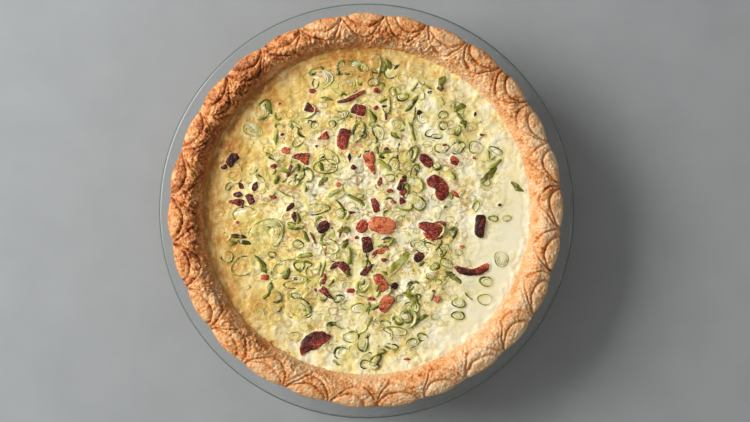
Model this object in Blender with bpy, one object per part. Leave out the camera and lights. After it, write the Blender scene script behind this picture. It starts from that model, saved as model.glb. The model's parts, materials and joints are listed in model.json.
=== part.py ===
"""A bacon and scallion quiche in its own glass pie dish.

Blender 4.5 script, metres, +Z up. The origin is the centre of the dish's foot, on the table.
Places on the quiche are given as seen from above, +X to the right and +Y up.

Nodes: the glass dish, the pastry crust with its stamped rim, the custard, and the
larger toppings that lie on the custard, which are bacon pieces, scallion rings and
scallion leaves.
"""

from math import cos, exp, hypot, pi, radians, sin, sqrt, tau

import bmesh
import bpy
from mathutils import Vector

MM = 0.001
GAP = 0.35  # mm, the clearance between two pieces that touch

# Glass dish, mm
DISH_RADIUS = 125.0
DISH_HEIGHT = 40.0
DISH_STEPS = 64
FOOT_RADIUS = 85.0
FLOOR_THICKNESS = 5.0
WALL_FOOT_RADIUS = 87.6  # inner wall where it leaves the floor's fillet
WALL_TOP_RADIUS = 109.0  # inner wall where it turns into the flange
WALL_FOOT_HEIGHT = 7.4
WALL_TOP_HEIGHT = 38.5
WALL_LEVEL = 5.5  # the wall's thickness measured level, because it leans out
FLANGE_THICKNESS = 4.2
LIP_ROUND = 2.0  # radius of the flange's rounded outer edge

# Pastry rim, mm. An inset is the distance inwards from the rim's outer edge.
RIM_RADIUS = 117.3
RIM_EDGE_HEIGHT = 42.0
RIM_CREST_HEIGHT = 46.0
RIM_CREST_INSET = 9.0
RIM_FOOT_INSET = 18.5  # where the rim's inner slope meets the custard
CUSTARD_LINE_HEIGHT = 36.8
SLOPE_INSET = 16.2  # a ring of the mesh between the pressed pattern and the slope's foot
RIM_UNDERCUT = 0.9  # the rim's underside starts this far in from its edge

# The pressed pattern, a row of stamps. Each is a fan of nested arcs that opens at the
# rim's edge. A level is an arc's size: 1 reaches the neighbouring stamps and ARC_DEPTH.
STAMPS = 27
STAMP_START = radians(-1.9)  # clock angle of the first stamp
STAMP_DRIFT = radians(2.9)  # the hand's slow drift from even spacing
STAMP_DRIFT_PHASE = radians(110.0)
ARC_DEPTH = 14.2
ARC_LEVELS = (0.25, 0.43, 0.52, 0.61, 0.82, 0.90, 1.0)  # the mesh's arcs
ARC_STEPS = 6
GROOVES = ((0.52, 1.6), (0.90, 1.4))  # level and depth of each pressed groove
GROOVE_WIDTH = 0.065
PUFF_HEIGHT = 1.5  # the dough that swells inside the inner groove
SCALLOP_DEPTH = 1.2
EDGE_BLEND_INSET = 14.0  # the scalloped edge's waves have died out here

# Crust below the rim, mm: its custard side as (radius, height), and its floor
CRUST_INNER = ((85.5, 12.5), (97.6, 34.3))
CRUST_FLOOR_RADIUS = 81.0
CRUST_FLOOR_TOP = 9.6

# Custard, mm
CUSTARD_DOME = 1.2
CUSTARD_SWELL = 0.4
CUSTARD_RINGS = 5

# Toppings. Bacon: across, up, length, width (mm), turn (degrees), bend (mm), corners, how sharp
BACON = (
    (-8.8, 68.4, 17.0, 3.8, 24, 1.5, 2, 0.05),
    (-33.0, 61.5, 8.5, 6.0, -30, 0.0, 3, 0.20),
    (-5.0, 61.0, 8.5, 7.0, -15, 0.0, 5, 0.06),
    (-14.0, 43.5, 12.0, 7.2, 78, 0.0, 4, 0.08),
    (-26.5, 45.0, 7.0, 5.4, 25, 0.0, 3, 0.10),
    (-39.8, 32.8, 9.8, 8.4, 30, 0.0, 3, 0.16),
    (-46.8, 23.8, 7.4, 3.4, 68, 0.5, 2, 0.05),
    (-81.0, 31.0, 7.6, 5.6, 55, 0.0, 4, 0.12),
    (-79.0, 5.0, 9.4, 6.2, -12, 0.5, 3, 0.12),
    (-70.0, 7.2, 6.2, 4.8, -60, 0.0, 4, 0.08),
    (3.0, 29.5, 13.0, 8.0, -66, 1.0, 3, 0.20),
    (36.0, 30.5, 9.6, 6.4, -48, 0.0, 2, 0.05),
    (43.0, 14.2, 14.0, 10.2, -48, 1.0, 4, 0.10),
    (21.0, 16.5, 9.0, 4.8, 64, 0.6, 3, 0.08),
    (5.5, 4.0, 8.8, 4.8, -72, 0.0, 3, 0.10),
    (-26.0, -9.5, 8.6, 6.8, 38, 0.0, 5, 0.05),
    (-2.8, -9.2, 8.0, 7.0, 60, 0.0, 3, 0.05),
    (9.5, -8.5, 16.0, 10.4, -8, 0.0, 4, 0.07),
    (0.5, -20.0, 9.6, 7.0, -80, 0.0, 5, 0.07),
    (-13.5, -34.0, 8.0, 5.4, -42, 0.8, 3, 0.10),
    (-24.0, -49.5, 10.0, 5.0, -42, 0.0, 3, 0.16),
    (-33.2, -78.6, 21.0, 10.0, 36, -3.2, 3, 0.08),
    (9.0, -43.0, 11.6, 6.8, -62, 0.0, 3, 0.08),
    (11.8, -55.5, 9.8, 7.4, 52, 0.0, 4, 0.10),
    (31.6, -27.8, 6.6, 5.2, 55, 0.0, 4, 0.06),
    (39.6, -10.9, 13.0, 12.0, 46, 0.0, 3, 0.26),
    (68.5, -9.0, 13.0, 6.6, 84, 0.0, 4, 0.06),
    (64.0, -34.6, 20.0, 5.6, 4, 4.2, 2, 0.04),
)
BACON_THICKNESS = 2.0
BACON_POINTS = 8

# Scallion rings: across, up, length, width (mm), turn (degrees)
RINGS = (
    (-14.2, 76.2, 16.0, 12.2, 12),
    (-69.0, 48.8, 12.2, 8.8, -20),
    (-21.5, 33.0, 13.0, 6.6, -52),
    (-40.4, 21.4, 8.4, 5.2, 38),
    (-30.0, 1.0, 17.0, 7.4, 4),
    (-60.5, -15.5, 23.0, 21.0, 30),
    (-84.0, -27.5, 8.0, 8.0, 0),
    (-41.0, -58.0, 15.5, 12.5, -40),
    (-2.0, -79.0, 12.5, 8.0, 82),
    (16.0, 28.0, 9.5, 8.4, 45),
    (31.5, 5.0, 10.5, 8.4, -50),
    (55.0, 38.0, 10.0, 8.0, 20),
    (81.0, -29.0, 10.0, 8.8, -35),
    (23.5, -63.5, 9.6, 9.0, 10),
    (17.0, -72.4, 15.4, 5.6, -7),
    (27.5, -79.5, 9.0, 6.0, 32),
)
RING_WALL = 1.1
RING_HEIGHT = 1.5
RING_POINTS = 8
RING_LARGE = 12.0  # rings longer than this get twice the points

# Scallion leaves: across, up, length, width (mm), turn (degrees), bend (mm)
LEAVES = (
    (-19.6, 10.0, 9.0, 3.8, 24, 1.0),
    (-6.8, 6.6, 15.0, 3.4, -32, 1.2),
    (27.0, 48.0, 13.5, 2.8, -74, 0.8),
    (27.5, 64.5, 14.0, 4.2, 50, 1.0),
    (57.5, 55.0, 13.0, 3.0, -62, -1.0),
    (74.0, 21.0, 14.0, 6.0, 40, 0.8),
    (-64.5, -30.4, 12.0, 3.4, -47, 0.6),
    (-37.2, -15.0, 9.0, 4.2, -70, 0.4),
    (-27.0, -36.0, 15.0, 2.8, 72, -0.8),
    (20.0, -32.0, 18.0, 7.0, 40, 1.6),
    (52.0, -40.0, 13.0, 5.4, -42, 0.8),
    (32.2, -66.6, 15.0, 3.4, 34, 1.0),
    (-24.0, 67.6, 9.0, 2.6, -14, 0.0),
)
LEAF_THICKNESS = 0.9


def clear_scene():
    for obj in list(bpy.data.objects):
        bpy.data.objects.remove(obj, do_unlink=True)


def material(name, colour, roughness, transmission=0.0):
    """A Principled material of one colour."""
    made = bpy.data.materials.new(name)
    made.use_nodes = True
    shader = made.node_tree.nodes["Principled BSDF"]
    shader.inputs["Base Color"].default_value = (*colour, 1.0)
    shader.inputs["Roughness"].default_value = roughness
    shader.inputs["Transmission Weight"].default_value = transmission
    return made


def add_object(name, bm, finish, smooth_angle=radians(40)):
    """Turns a bmesh in millimetres into a named object in metres, faces outwards."""
    bmesh.ops.recalc_face_normals(bm, faces=bm.faces[:])
    bmesh.ops.scale(bm, vec=(MM, MM, MM), verts=bm.verts[:])
    mesh = bpy.data.meshes.new(name)
    bm.to_mesh(mesh)
    bm.free()
    mesh.shade_smooth()
    mesh.set_sharp_from_angle(angle=smooth_angle)
    mesh.materials.append(finish)
    obj = bpy.data.objects.new(name, mesh)
    bpy.context.scene.collection.objects.link(obj)
    return obj


def around(angle, radius, height):
    return Vector((radius * sin(angle), radius * cos(angle), height))


def join_rings(bm, outer, inner):
    """Faces between two closed rings, where the finer one has a whole number of times the points."""
    fine, coarse = (outer, inner) if len(outer) >= len(inner) else (inner, outer)
    step = len(fine) // len(coarse)
    for i, corner in enumerate(coarse):
        following = coarse[(i + 1) % len(coarse)]
        stretch = [fine[(i * step + k) % len(fine)] for k in range(step + 1)]
        if step == 1:
            bm.faces.new((corner, following, stretch[1], stretch[0]))
            continue
        half = step // 2 + 1
        for k in range(step):
            bm.faces.new((corner if k < half else following, stretch[k], stretch[k + 1]))
        bm.faces.new((corner, stretch[half], following))


def close_ring(bm, ring, height):
    """Closes a ring with a fan to a point on the axis."""
    centre = bm.verts.new((0.0, 0.0, height))
    for a, b in zip(ring, ring[1:] + ring[:1]):
        bm.faces.new((a, b, centre))


def skin_rings(bm, rings):
    for first, second in zip(rings, rings[1:]):
        join_rings(bm, first, second)



def lip_points(count=5):
    """The flange's rounded outer edge, from its underside up to its top."""
    centre = DISH_RADIUS - LIP_ROUND, DISH_HEIGHT - LIP_ROUND
    turns = [radians(-80 + 170 * i / (count - 1)) for i in range(count)]
    return [
        (centre[0] + LIP_ROUND * cos(turn), centre[1] + LIP_ROUND * sin(turn))
        for turn in turns
    ]


def dish_profile():
    """(radius, height) from the foot's edge, up the outside, over the flange and down inside."""
    under = DISH_HEIGHT - FLANGE_THICKNESS
    return [
        (FOOT_RADIUS, 0.0),
        (FOOT_RADIUS + 3.2, 1.2),
        (WALL_FOOT_RADIUS + WALL_LEVEL - 2.2, WALL_FOOT_HEIGHT - 3.2),
        (WALL_TOP_RADIUS + WALL_LEVEL - 2.4, under - 2.0),
        (WALL_TOP_RADIUS + WALL_LEVEL + 0.6, under),
        *lip_points(),
        (WALL_TOP_RADIUS + 2.0, WALL_TOP_HEIGHT + 1.0),
        (WALL_TOP_RADIUS, WALL_TOP_HEIGHT),
        (WALL_FOOT_RADIUS, WALL_FOOT_HEIGHT),
        (FOOT_RADIUS - 1.0, FLOOR_THICKNESS),
    ]


def make_dish(finish):
    bm = bmesh.new()
    rings = []
    for radius, height in dish_profile():
        angles = [tau * i / DISH_STEPS for i in range(DISH_STEPS)]
        rings.append([bm.verts.new(around(angle, radius, height)) for angle in angles])
    skin_rings(bm, rings)
    close_ring(bm, rings[0], 0.0)
    close_ring(bm, rings[-1], FLOOR_THICKNESS)
    return add_object("glass_dish", bm, finish)



def clock_angle(stamp):
    """The clock angle, from +Y towards +X, of a place counted in stamps around the rim."""
    even = tau * stamp / STAMPS
    return STAMP_START + even - STAMP_DRIFT * cos(even - STAMP_DRIFT_PHASE)


def stamp_relief(stamp, inset):
    """The height that the pattern adds: two pressed grooves and the swelling inside them."""
    level = hypot(2.0 * (stamp - round(stamp)), inset / ARC_DEPTH)
    relief = 0.0
    for groove, depth in GROOVES:
        relief -= depth * exp(-(((level - groove) / GROOVE_WIDTH) ** 2))
    swelling = max(0.0, 1.0 - (level / GROOVES[0][0]) ** 2)
    return relief + PUFF_HEIGHT * sqrt(swelling)


def rim_height(inset):
    """The rim's plain section: a rounded outer shoulder, a crest and a long inner slope."""
    if inset < RIM_CREST_INSET:
        rise = 1.0 - (1.0 - inset / RIM_CREST_INSET) ** 2
        return RIM_EDGE_HEIGHT + (RIM_CREST_HEIGHT - RIM_EDGE_HEIGHT) * rise**0.7
    down = (inset - RIM_CREST_INSET) / (RIM_FOOT_INSET - RIM_CREST_INSET)
    return RIM_CREST_HEIGHT - (RIM_CREST_HEIGHT - CUSTARD_LINE_HEIGHT) * down**1.7


def edge_offset(stamp):
    """How far the rim's edge stands out or in: a scallop for each stamp, and a slow unevenness."""
    turn = tau * stamp / STAMPS
    slow = 0.6 * sin(3 * turn + 0.5) + 0.4 * sin(8 * turn + 2.0)
    return SCALLOP_DEPTH * cos(tau * stamp) + slow


def rim_point(stamp, inset, height=None):
    """A place on the rim, on the pressed surface unless a height is given."""
    fade = max(0.0, 1.0 - inset / EDGE_BLEND_INSET)
    radius = RIM_RADIUS - inset + edge_offset(stamp) * fade
    if height is None:
        height = rim_height(inset) + stamp_relief(stamp, inset)
    return around(clock_angle(stamp), radius, height)


def rim_ring(bm, inset, height=None):
    """A ring with a vertex at each stamp's middle and at each ridge between two stamps."""
    places = [0.5 * i - 0.5 for i in range(2 * STAMPS)]
    return [bm.verts.new(rim_point(place, inset, height)) for place in places]


def plain_ring(bm, radius, height):
    """A level circle with the same number of vertices as rim_ring, at the same angles."""
    angles = [clock_angle(0.5 * i - 0.5) for i in range(2 * STAMPS)]
    return [bm.verts.new(around(angle, radius, height)) for angle in angles]


def arc_vertices(bm, stamp, level, first, last):
    """Vertices along one of a stamp's arcs, from step first to step last."""
    made = []
    for step in range(first, last + 1):
        turn = pi * step / ARC_STEPS
        place = stamp - 0.5 * level * cos(turn)
        made.append(bm.verts.new(rim_point(place, ARC_DEPTH * level * sin(turn))))
    return made


def skin_stamp(bm, stamp, ridges):
    """Skins one stamp from its middle outwards. Returns its arcs and its middle vertex."""
    middle = bm.verts.new(rim_point(stamp, 0.0))
    arcs = [arc_vertices(bm, stamp, level, 0, ARC_STEPS) for level in ARC_LEVELS[:-1]]
    between = arc_vertices(bm, stamp, ARC_LEVELS[-1], 1, ARC_STEPS - 1)
    arcs.append([ridges[stamp], *between, ridges[(stamp + 1) % STAMPS]])
    for a, b in zip(arcs[0], arcs[0][1:]):
        bm.faces.new((middle, a, b))
    for inner, outer in zip(arcs, arcs[1:]):
        for k in range(ARC_STEPS):
            bm.faces.new((inner[k], inner[k + 1], outer[k + 1], outer[k]))
    return arcs, middle


def skin_field(bm, before, after, foot, index):
    """Skins the pointed field between the outlines of two stamps, down to the foot ring."""
    half = ARC_STEPS // 2
    left = before[::-1]
    bm.faces.new((left[0], left[1], after[1]))
    for k in range(1, half - 1):
        bm.faces.new((left[k], left[k + 1], after[k + 1], after[k]))
    ridge_foot = foot[2 * index]
    bm.faces.new((left[half - 1], after[half - 1], ridge_foot))
    for side, middle_foot in ((left, foot[2 * index - 1]), (after, foot[2 * index + 1])):
        bm.faces.new((side[half - 1], ridge_foot, middle_foot))
        bm.faces.new((side[half - 1], side[half], middle_foot))


def skin_pattern(bm, foot):
    """Skins the whole pressed pattern inside the foot ring, and returns the rim's edge ring."""
    ridges = [bm.verts.new(rim_point(stamp - 0.5, 0.0)) for stamp in range(STAMPS)]
    outlines = []
    edge = []
    for stamp in range(STAMPS):
        arcs, middle = skin_stamp(bm, stamp, ridges)
        outlines.append(arcs[-1])
        edge += [arc[0] for arc in reversed(arcs)] + [middle] + [arc[-1] for arc in arcs[:-1]]
    for stamp in range(STAMPS):
        skin_field(bm, outlines[stamp - 1], outlines[stamp], foot, stamp)
    return edge


def glass_side():
    """The crust's (radius, height) from the flange down to the floor, clear of the dish."""
    return (
        (WALL_TOP_RADIUS + 1.6, WALL_TOP_HEIGHT + 1.0 + GAP),
        (WALL_TOP_RADIUS - 0.4, WALL_TOP_HEIGHT + 0.2),
        (WALL_FOOT_RADIUS - 0.4, WALL_FOOT_HEIGHT + 0.3),
        (FOOT_RADIUS - 1.9, FLOOR_THICKNESS + GAP),
    )


def make_crust(finish):
    bm = bmesh.new()
    inside = [rim_ring(bm, SLOPE_INSET), rim_ring(bm, RIM_FOOT_INSET, CUSTARD_LINE_HEIGHT)]
    inside += [plain_ring(bm, radius, height) for radius, height in reversed(CRUST_INNER)]
    inside.append(plain_ring(bm, CRUST_FLOOR_RADIUS, CRUST_FLOOR_TOP))
    outside = [skin_pattern(bm, inside[0]), rim_ring(bm, RIM_UNDERCUT, DISH_HEIGHT + GAP)]
    outside += [plain_ring(bm, radius, height) for radius, height in glass_side()]
    for rings, height in ((inside, CRUST_FLOOR_TOP), (outside, FLOOR_THICKNESS + GAP)):
        skin_rings(bm, rings)
        close_ring(bm, rings[-1], height)
    return add_object("pastry_crust", bm, finish)



def custard_height(x, y):
    """The custard's top: a low dome with a slow swell, level where it meets the crust."""
    out = min(1.0, hypot(x, y) / (RIM_RADIUS - RIM_FOOT_INSET))
    swell = sin(x / 13.0 + 0.7) * cos(y / 16.0 - 0.4) + 0.6 * sin((x + y) / 11.0)
    level = CUSTARD_LINE_HEIGHT - GAP
    return level + (1.0 - out * out) * (CUSTARD_DOME + CUSTARD_SWELL * swell)


def make_custard(finish):
    bm = bmesh.new()
    edge = RIM_RADIUS - RIM_FOOT_INSET - GAP
    rings = [plain_ring(bm, edge * i / CUSTARD_RINGS, 0.0) for i in range(1, CUSTARD_RINGS + 1)]
    for corner in [corner for ring in rings for corner in ring]:
        corner.co.z = custard_height(corner.co.x, corner.co.y)
    for radius, height in reversed(CRUST_INNER):
        rings.append(plain_ring(bm, radius - 1.3 * GAP, height))
    rings.append(plain_ring(bm, CRUST_FLOOR_RADIUS - GAP, CRUST_FLOOR_TOP + GAP))
    skin_rings(bm, rings)
    close_ring(bm, rings[0], custard_height(0.0, 0.0))
    close_ring(bm, rings[-1], CRUST_FLOOR_TOP + GAP)
    return add_object("custard", bm, finish)



def laid(x, y, place, turn):
    """A topping's own (along, across) place as a place on the quiche."""
    along, across = place
    side, up = cos(radians(turn)), sin(radians(turn))
    return x + along * side - across * up, y + along * up + across * side


def bent(along, across, half_length, bend):
    """Bows a straight piece, so that its ends lie this far across from its middle."""
    return along, across + bend * ((along / half_length) ** 2 - 0.5)


def outline(length, width, corners, sharp, count):
    """A rounded outline with this many corners, as (along, across) points."""
    points = []
    for i in range(count):
        turn = tau * i / count
        reach = 1.0 + sharp * cos(corners * turn + 0.6) + 0.5 * sharp * sin(2 * turn + 1.0)
        points.append((0.5 * length * reach * cos(turn), 0.5 * width * reach * sin(turn)))
    return points


def slab(name, spec, points, thickness, finish):
    """A flat topping: its underside follows the custard, its top has a rounded shoulder."""
    x, y, length, turn, bend = spec
    half = 0.5 * length
    bm = bmesh.new()

    def layer(shrink, lift):
        ring = []
        for along, across in points:
            place = bent(along * shrink, across * shrink, half, bend)
            px, py = laid(x, y, place, turn)
            ring.append(bm.verts.new((px, py, custard_height(px, py) + GAP + lift)))
        return ring

    rings = [layer(0.9, 0.0), layer(1.0, 0.45 * thickness), layer(0.78, thickness)]
    for first, second in zip(rings, rings[1:]):
        join_rings(bm, first, second)
    for ring in (rings[0], rings[-1]):
        bmesh.ops.triangulate(bm, faces=[bm.faces.new(ring)])
    return add_object(name, bm, finish)


def make_bacon(finish):
    for i, (x, y, length, width, turn, bend, corners, sharp) in enumerate(BACON):
        points = outline(length, width, corners, sharp, BACON_POINTS)
        spec = (x, y, length, turn, bend)
        slab(f"bacon_{i + 1:02d}", spec, points, BACON_THICKNESS, finish)


def leaf_outline(length, width):
    """A strip cut from a leaf, with blunt slanting ends."""
    end, belly, slant = 0.5 * length, 0.5 * width, 0.3 * width
    upper = [(-end + slant, 0.8 * belly), (0.0, belly), (end, 0.7 * belly)]
    lower = [(end - slant, -0.8 * belly), (0.0, -belly), (-end, -0.7 * belly)]
    return lower[::-1] + upper[::-1]


def make_leaves(finish):
    for i, (x, y, length, width, turn, bend) in enumerate(LEAVES):
        spec = (x, y, length, turn, bend)
        points = leaf_outline(length, width)
        slab(f"scallion_leaf_{i + 1:02d}", spec, points, LEAF_THICKNESS, finish)


def make_rings(finish):
    """Slices of scallion: short tubes, a little uneven, that stand on the custard."""
    for i, (x, y, length, width, turn) in enumerate(RINGS):
        bm = bmesh.new()
        count = RING_POINTS if length < RING_LARGE else 2 * RING_POINTS
        loops = []
        for inwards, lift in ((0.0, 0.0), (0.0, 1.0), (1.0, 1.0), (1.0, 0.0)):
            loop = []
            for k in range(count):
                phase = tau * k / count
                uneven = 1.0 + 0.05 * sin(3 * phase + i)
                along = (0.5 * length * uneven - inwards * RING_WALL) * cos(phase)
                across = (0.5 * width * uneven - inwards * RING_WALL) * sin(phase)
                px, py = laid(x, y, (along, across), turn)
                height = custard_height(px, py) + GAP + lift * RING_HEIGHT
                loop.append(bm.verts.new((px, py, height)))
            loops.append(loop)
        for first, second in zip(loops, loops[1:] + loops[:1]):
            join_rings(bm, first, second)
        add_object(f"scallion_ring_{i + 1:02d}", bm, finish)


def main():
    clear_scene()
    glass = material("glass", (0.82, 0.88, 0.87), 0.05, transmission=0.9)
    pastry = material("pastry", (0.62, 0.33, 0.12), 0.7)
    custard = material("custard", (0.88, 0.76, 0.40), 0.45)
    bacon = material("bacon", (0.34, 0.06, 0.04), 0.5)
    scallion = material("scallion", (0.45, 0.55, 0.18), 0.5)
    make_dish(glass)
    make_crust(pastry)
    make_custard(custard)
    make_bacon(bacon)
    make_rings(scallion)
    make_leaves(scallion)


main()
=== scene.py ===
import json
from math import cos, pi, radians, sin, sqrt, tau

import bmesh
import bpy
import numpy as np
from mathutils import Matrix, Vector
from mathutils.bvhtree import BVHTree

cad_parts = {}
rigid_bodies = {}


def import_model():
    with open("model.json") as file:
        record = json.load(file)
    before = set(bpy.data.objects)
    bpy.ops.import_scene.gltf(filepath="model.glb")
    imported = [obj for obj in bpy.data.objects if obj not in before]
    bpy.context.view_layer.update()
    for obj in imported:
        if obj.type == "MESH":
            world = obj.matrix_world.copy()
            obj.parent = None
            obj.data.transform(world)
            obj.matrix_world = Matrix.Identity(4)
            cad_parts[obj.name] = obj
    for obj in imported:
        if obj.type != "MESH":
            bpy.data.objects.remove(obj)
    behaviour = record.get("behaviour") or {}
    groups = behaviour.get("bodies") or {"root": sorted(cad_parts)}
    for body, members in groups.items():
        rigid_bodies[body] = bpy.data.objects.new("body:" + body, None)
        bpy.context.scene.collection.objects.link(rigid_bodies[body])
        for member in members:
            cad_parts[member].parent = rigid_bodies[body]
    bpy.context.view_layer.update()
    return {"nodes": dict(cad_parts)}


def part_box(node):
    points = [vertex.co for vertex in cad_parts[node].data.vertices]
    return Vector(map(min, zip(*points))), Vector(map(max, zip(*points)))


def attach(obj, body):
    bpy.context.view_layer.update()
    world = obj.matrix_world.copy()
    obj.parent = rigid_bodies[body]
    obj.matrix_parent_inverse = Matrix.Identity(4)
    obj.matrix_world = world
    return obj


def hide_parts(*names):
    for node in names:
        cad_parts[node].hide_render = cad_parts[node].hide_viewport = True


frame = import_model()
cadNodes = frame["nodes"]
mm = 0.001
print("stage: frame loaded,", len(cadNodes), "nodes")



def paint(red, green, blue):
    # a screen colour, 0 to 255, made linear
    made = []
    for value in (red, green, blue):
        share = value / 255
        made.append(share / 12.92 if share <= 0.04045 else ((share + 0.055) / 1.055) ** 2.4)
    return (*made, 1.0)


class Wire:
    # one output of a node, used in sums like a number
    def __init__(self, tree, socket):
        self.tree = tree
        self.socket = socket

    def sum(self, operation, *others):
        node = self.tree.nodes.new("ShaderNodeMath")
        node.operation = operation
        for socket, value in zip(node.inputs, (self, *others)):
            feed(self.tree, socket, value)
        return Wire(self.tree, node.outputs[0])

    def __add__(self, other):
        return self.sum("ADD", other)

    def __sub__(self, other):
        return self.sum("SUBTRACT", other)

    def __mul__(self, other):
        return self.sum("MULTIPLY", other)

    def __truediv__(self, other):
        return self.sum("DIVIDE", other)

    def __pow__(self, other):
        return self.sum("POWER", other)

    def __radd__(self, other):
        return self + other

    def __rmul__(self, other):
        return self * other

    def __rsub__(self, other):
        return self * -1.0 + other

    def __neg__(self):
        return self * -1.0


def feed(tree, socket, value):
    if isinstance(value, Wire):
        tree.links.new(value.socket, socket)
    elif isinstance(value, bpy.types.NodeSocket):
        tree.links.new(value, socket)
    else:
        socket.default_value = value


def pick(sockets, name):
    if isinstance(name, int):
        return sockets[name]
    return next(socket for socket in sockets if socket.name == name and socket.enabled)


def addNode(tree, kind, values=None, **settings):
    node = tree.nodes.new(kind)
    for name, value in settings.items():
        setattr(node, name, value)
    for name, value in (values or {}).items():
        feed(tree, pick(node.inputs, name), value)
    return node


def fromNode(tree, kind, output=0, values=None, **settings):
    node = addNode(tree, kind, values, **settings)
    return Wire(tree, pick(node.outputs, output))


def ramp(value, low, high, start=0.0, end=1.0):
    # eases from start to end while value goes from low to high
    node = addNode(value.tree, "ShaderNodeMapRange", interpolation_type="SMOOTHSTEP")
    for name, number in (
        ("Value", value), ("From Min", low), ("From Max", high), ("To Min", start), ("To Max", end),
    ):
        feed(value.tree, pick(node.inputs, name), number)
    return Wire(value.tree, pick(node.outputs, "Result"))


def bell(value, middle, width):
    # 1 at the middle, falling to nothing about two widths away
    away = (value - middle) / width
    return (-(away * away)).sum("EXPONENT")


def noise(place, size, detail=3.0, rough=0.55, bend=0.0):
    # soft noise from 0 to 1, with features of this size in millimetres
    values = {"Vector": place, "Scale": 1000.0 / size, "Detail": detail, "Roughness": rough,
              "Distortion": bend}
    return fromNode(place.tree, "ShaderNodeTexNoise", 0, values)


def cells(place, size, output="Distance", spread=1.0, feature="F1"):
    values = {"Vector": place, "Scale": 1000.0 / size, "Randomness": spread}
    return fromNode(place.tree, "ShaderNodeTexVoronoi", output, values, feature=feature)


def stretch(place, scale=(1, 1, 1), turn=0.0, shift=(0, 0, 0)):
    if place.tree.type == "GEOMETRY":
        turned = fromNode(place.tree, "ShaderNodeVectorRotate", 0, {"Vector": place, "Angle": turn})
        return vectorSum(turned, "MULTIPLY", scale)
    values = {"Vector": place, "Location": shift, "Rotation": (0, 0, turn), "Scale": scale}
    return fromNode(place.tree, "ShaderNodeMapping", "Vector", values)


def mix(share, first, second, way="MIX"):
    tree = share.tree
    node = addNode(tree, "ShaderNodeMix", data_type="RGBA", blend_type=way, clamp_factor=True)
    feed(tree, node.inputs[0], share)
    feed(tree, node.inputs[6], first)
    feed(tree, node.inputs[7], second)
    return Wire(tree, node.outputs[2])


def shades(value, *stops):
    # a colour for each level of value: (level, colour) pairs
    node = addNode(value.tree, "ShaderNodeValToRGB", {"Fac": value})
    stripe = node.color_ramp
    for i, (level, colour) in enumerate(stops):
        stop = stripe.elements[i] if i < 2 else stripe.elements.new(level)
        stop.position = level
        stop.color = colour
    return Wire(value.tree, node.outputs["Color"])


def attribute(tree, name):
    if tree.type == "GEOMETRY":
        return fromNode(tree, "GeometryNodeInputNamedAttribute", "Attribute", {"Name": name},
                        data_type="FLOAT")
    return Wire(tree, addNode(tree, "ShaderNodeAttribute", attribute_name=name).outputs["Fac"])


def parts(vector):
    node = addNode(vector.tree, "ShaderNodeSeparateXYZ", {0: vector})
    return [Wire(vector.tree, socket) for socket in node.outputs]


def joinParts(tree, x, y, z):
    return fromNode(tree, "ShaderNodeCombineXYZ", 0, {0: x, 1: y, 2: z})


def vectorSum(first, operation, second, output=0):
    node = addNode(first.tree, "ShaderNodeVectorMath", operation=operation)
    feed(first.tree, node.inputs[0], first)
    if operation == "SCALE":
        feed(first.tree, node.inputs["Scale"], second)
    else:
        feed(first.tree, node.inputs[1], second)
    return Wire(first.tree, node.outputs[output])


def newFinish(name, **uniform):
    # a material with one Principled shader. Values that are the same all over go on its sockets
    finish = bpy.data.materials.new(name)
    finish.use_nodes = True
    tree = finish.node_tree
    shader = tree.nodes["Principled BSDF"]
    for socket, value in uniform.items():
        shader.inputs[socket.replace("_", " ")].default_value = value
    place = fromNode(tree, "ShaderNodeTexCoord", "Object")
    return finish, tree, shader, place


def addBump(tree, shader, height, strength=1.0, distance=1.0):
    # distance is the height in millimetres that 1 stands for
    node = addNode(tree, "ShaderNodeBump", {"Strength": strength, "Distance": distance * mm,
                                            "Height": height})
    tree.links.new(node.outputs["Normal"], shader.inputs["Normal"])


def newTree(name, sizes):
    # a geometry tree with a named input for each size, and wires from them
    tree = bpy.data.node_groups.new(name, "GeometryNodeTree")
    tree.interface.new_socket("Geometry", in_out="INPUT", socket_type="NodeSocketGeometry")
    for label, value in sizes.items():
        kind = "NodeSocketFloat"
        if isinstance(value, bpy.types.Object):
            kind = "NodeSocketObject"
        elif isinstance(value, bpy.types.Collection):
            kind = "NodeSocketCollection"
        elif isinstance(value, int):
            kind = "NodeSocketInt"
        tree.interface.new_socket(label, in_out="INPUT", socket_type=kind)
    tree.interface.new_socket("Geometry", in_out="OUTPUT", socket_type="NodeSocketGeometry")
    source = tree.nodes.new("NodeGroupInput")
    return tree, {socket.name: Wire(tree, socket) for socket in source.outputs if socket.name}


def keepValue(shape, name, value, domain="POINT"):
    return fromNode(shape.tree, "GeometryNodeStoreNamedAttribute", "Geometry",
                    {"Geometry": shape, "Name": name, "Value": value},
                    data_type="FLOAT", domain=domain)


def finishTree(shape, finish):
    tree = shape.tree
    real = fromNode(tree, "GeometryNodeRealizeInstances", "Geometry", {"Geometry": shape})
    dressed = fromNode(tree, "GeometryNodeSetMaterial", "Geometry",
                       {"Geometry": real, "Material": finish})
    result = tree.nodes.new("NodeGroupOutput")
    tree.links.new(dressed.socket, result.inputs[0])


def runTree(obj, tree, sizes):
    # gives the object the tree's result as its own plain mesh
    modifier = obj.modifiers.new(tree.name, "NODES")
    modifier.node_group = tree
    for item in tree.interface.items_tree:
        if item.in_out == "INPUT" and item.name in sizes:
            modifier[item.identifier] = sizes[item.name]
    bpy.context.view_layer.update()
    depsgraph = bpy.context.evaluated_depsgraph_get()
    evaluated = obj.evaluated_get(depsgraph)
    mesh = bpy.data.meshes.new_from_object(evaluated, preserve_all_data_layers=True,
                                           depsgraph=depsgraph)
    obj.modifiers.clear()
    obj.data = mesh
    obj.data.name = obj.name
    mesh.shade_smooth()
    return obj


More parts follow.
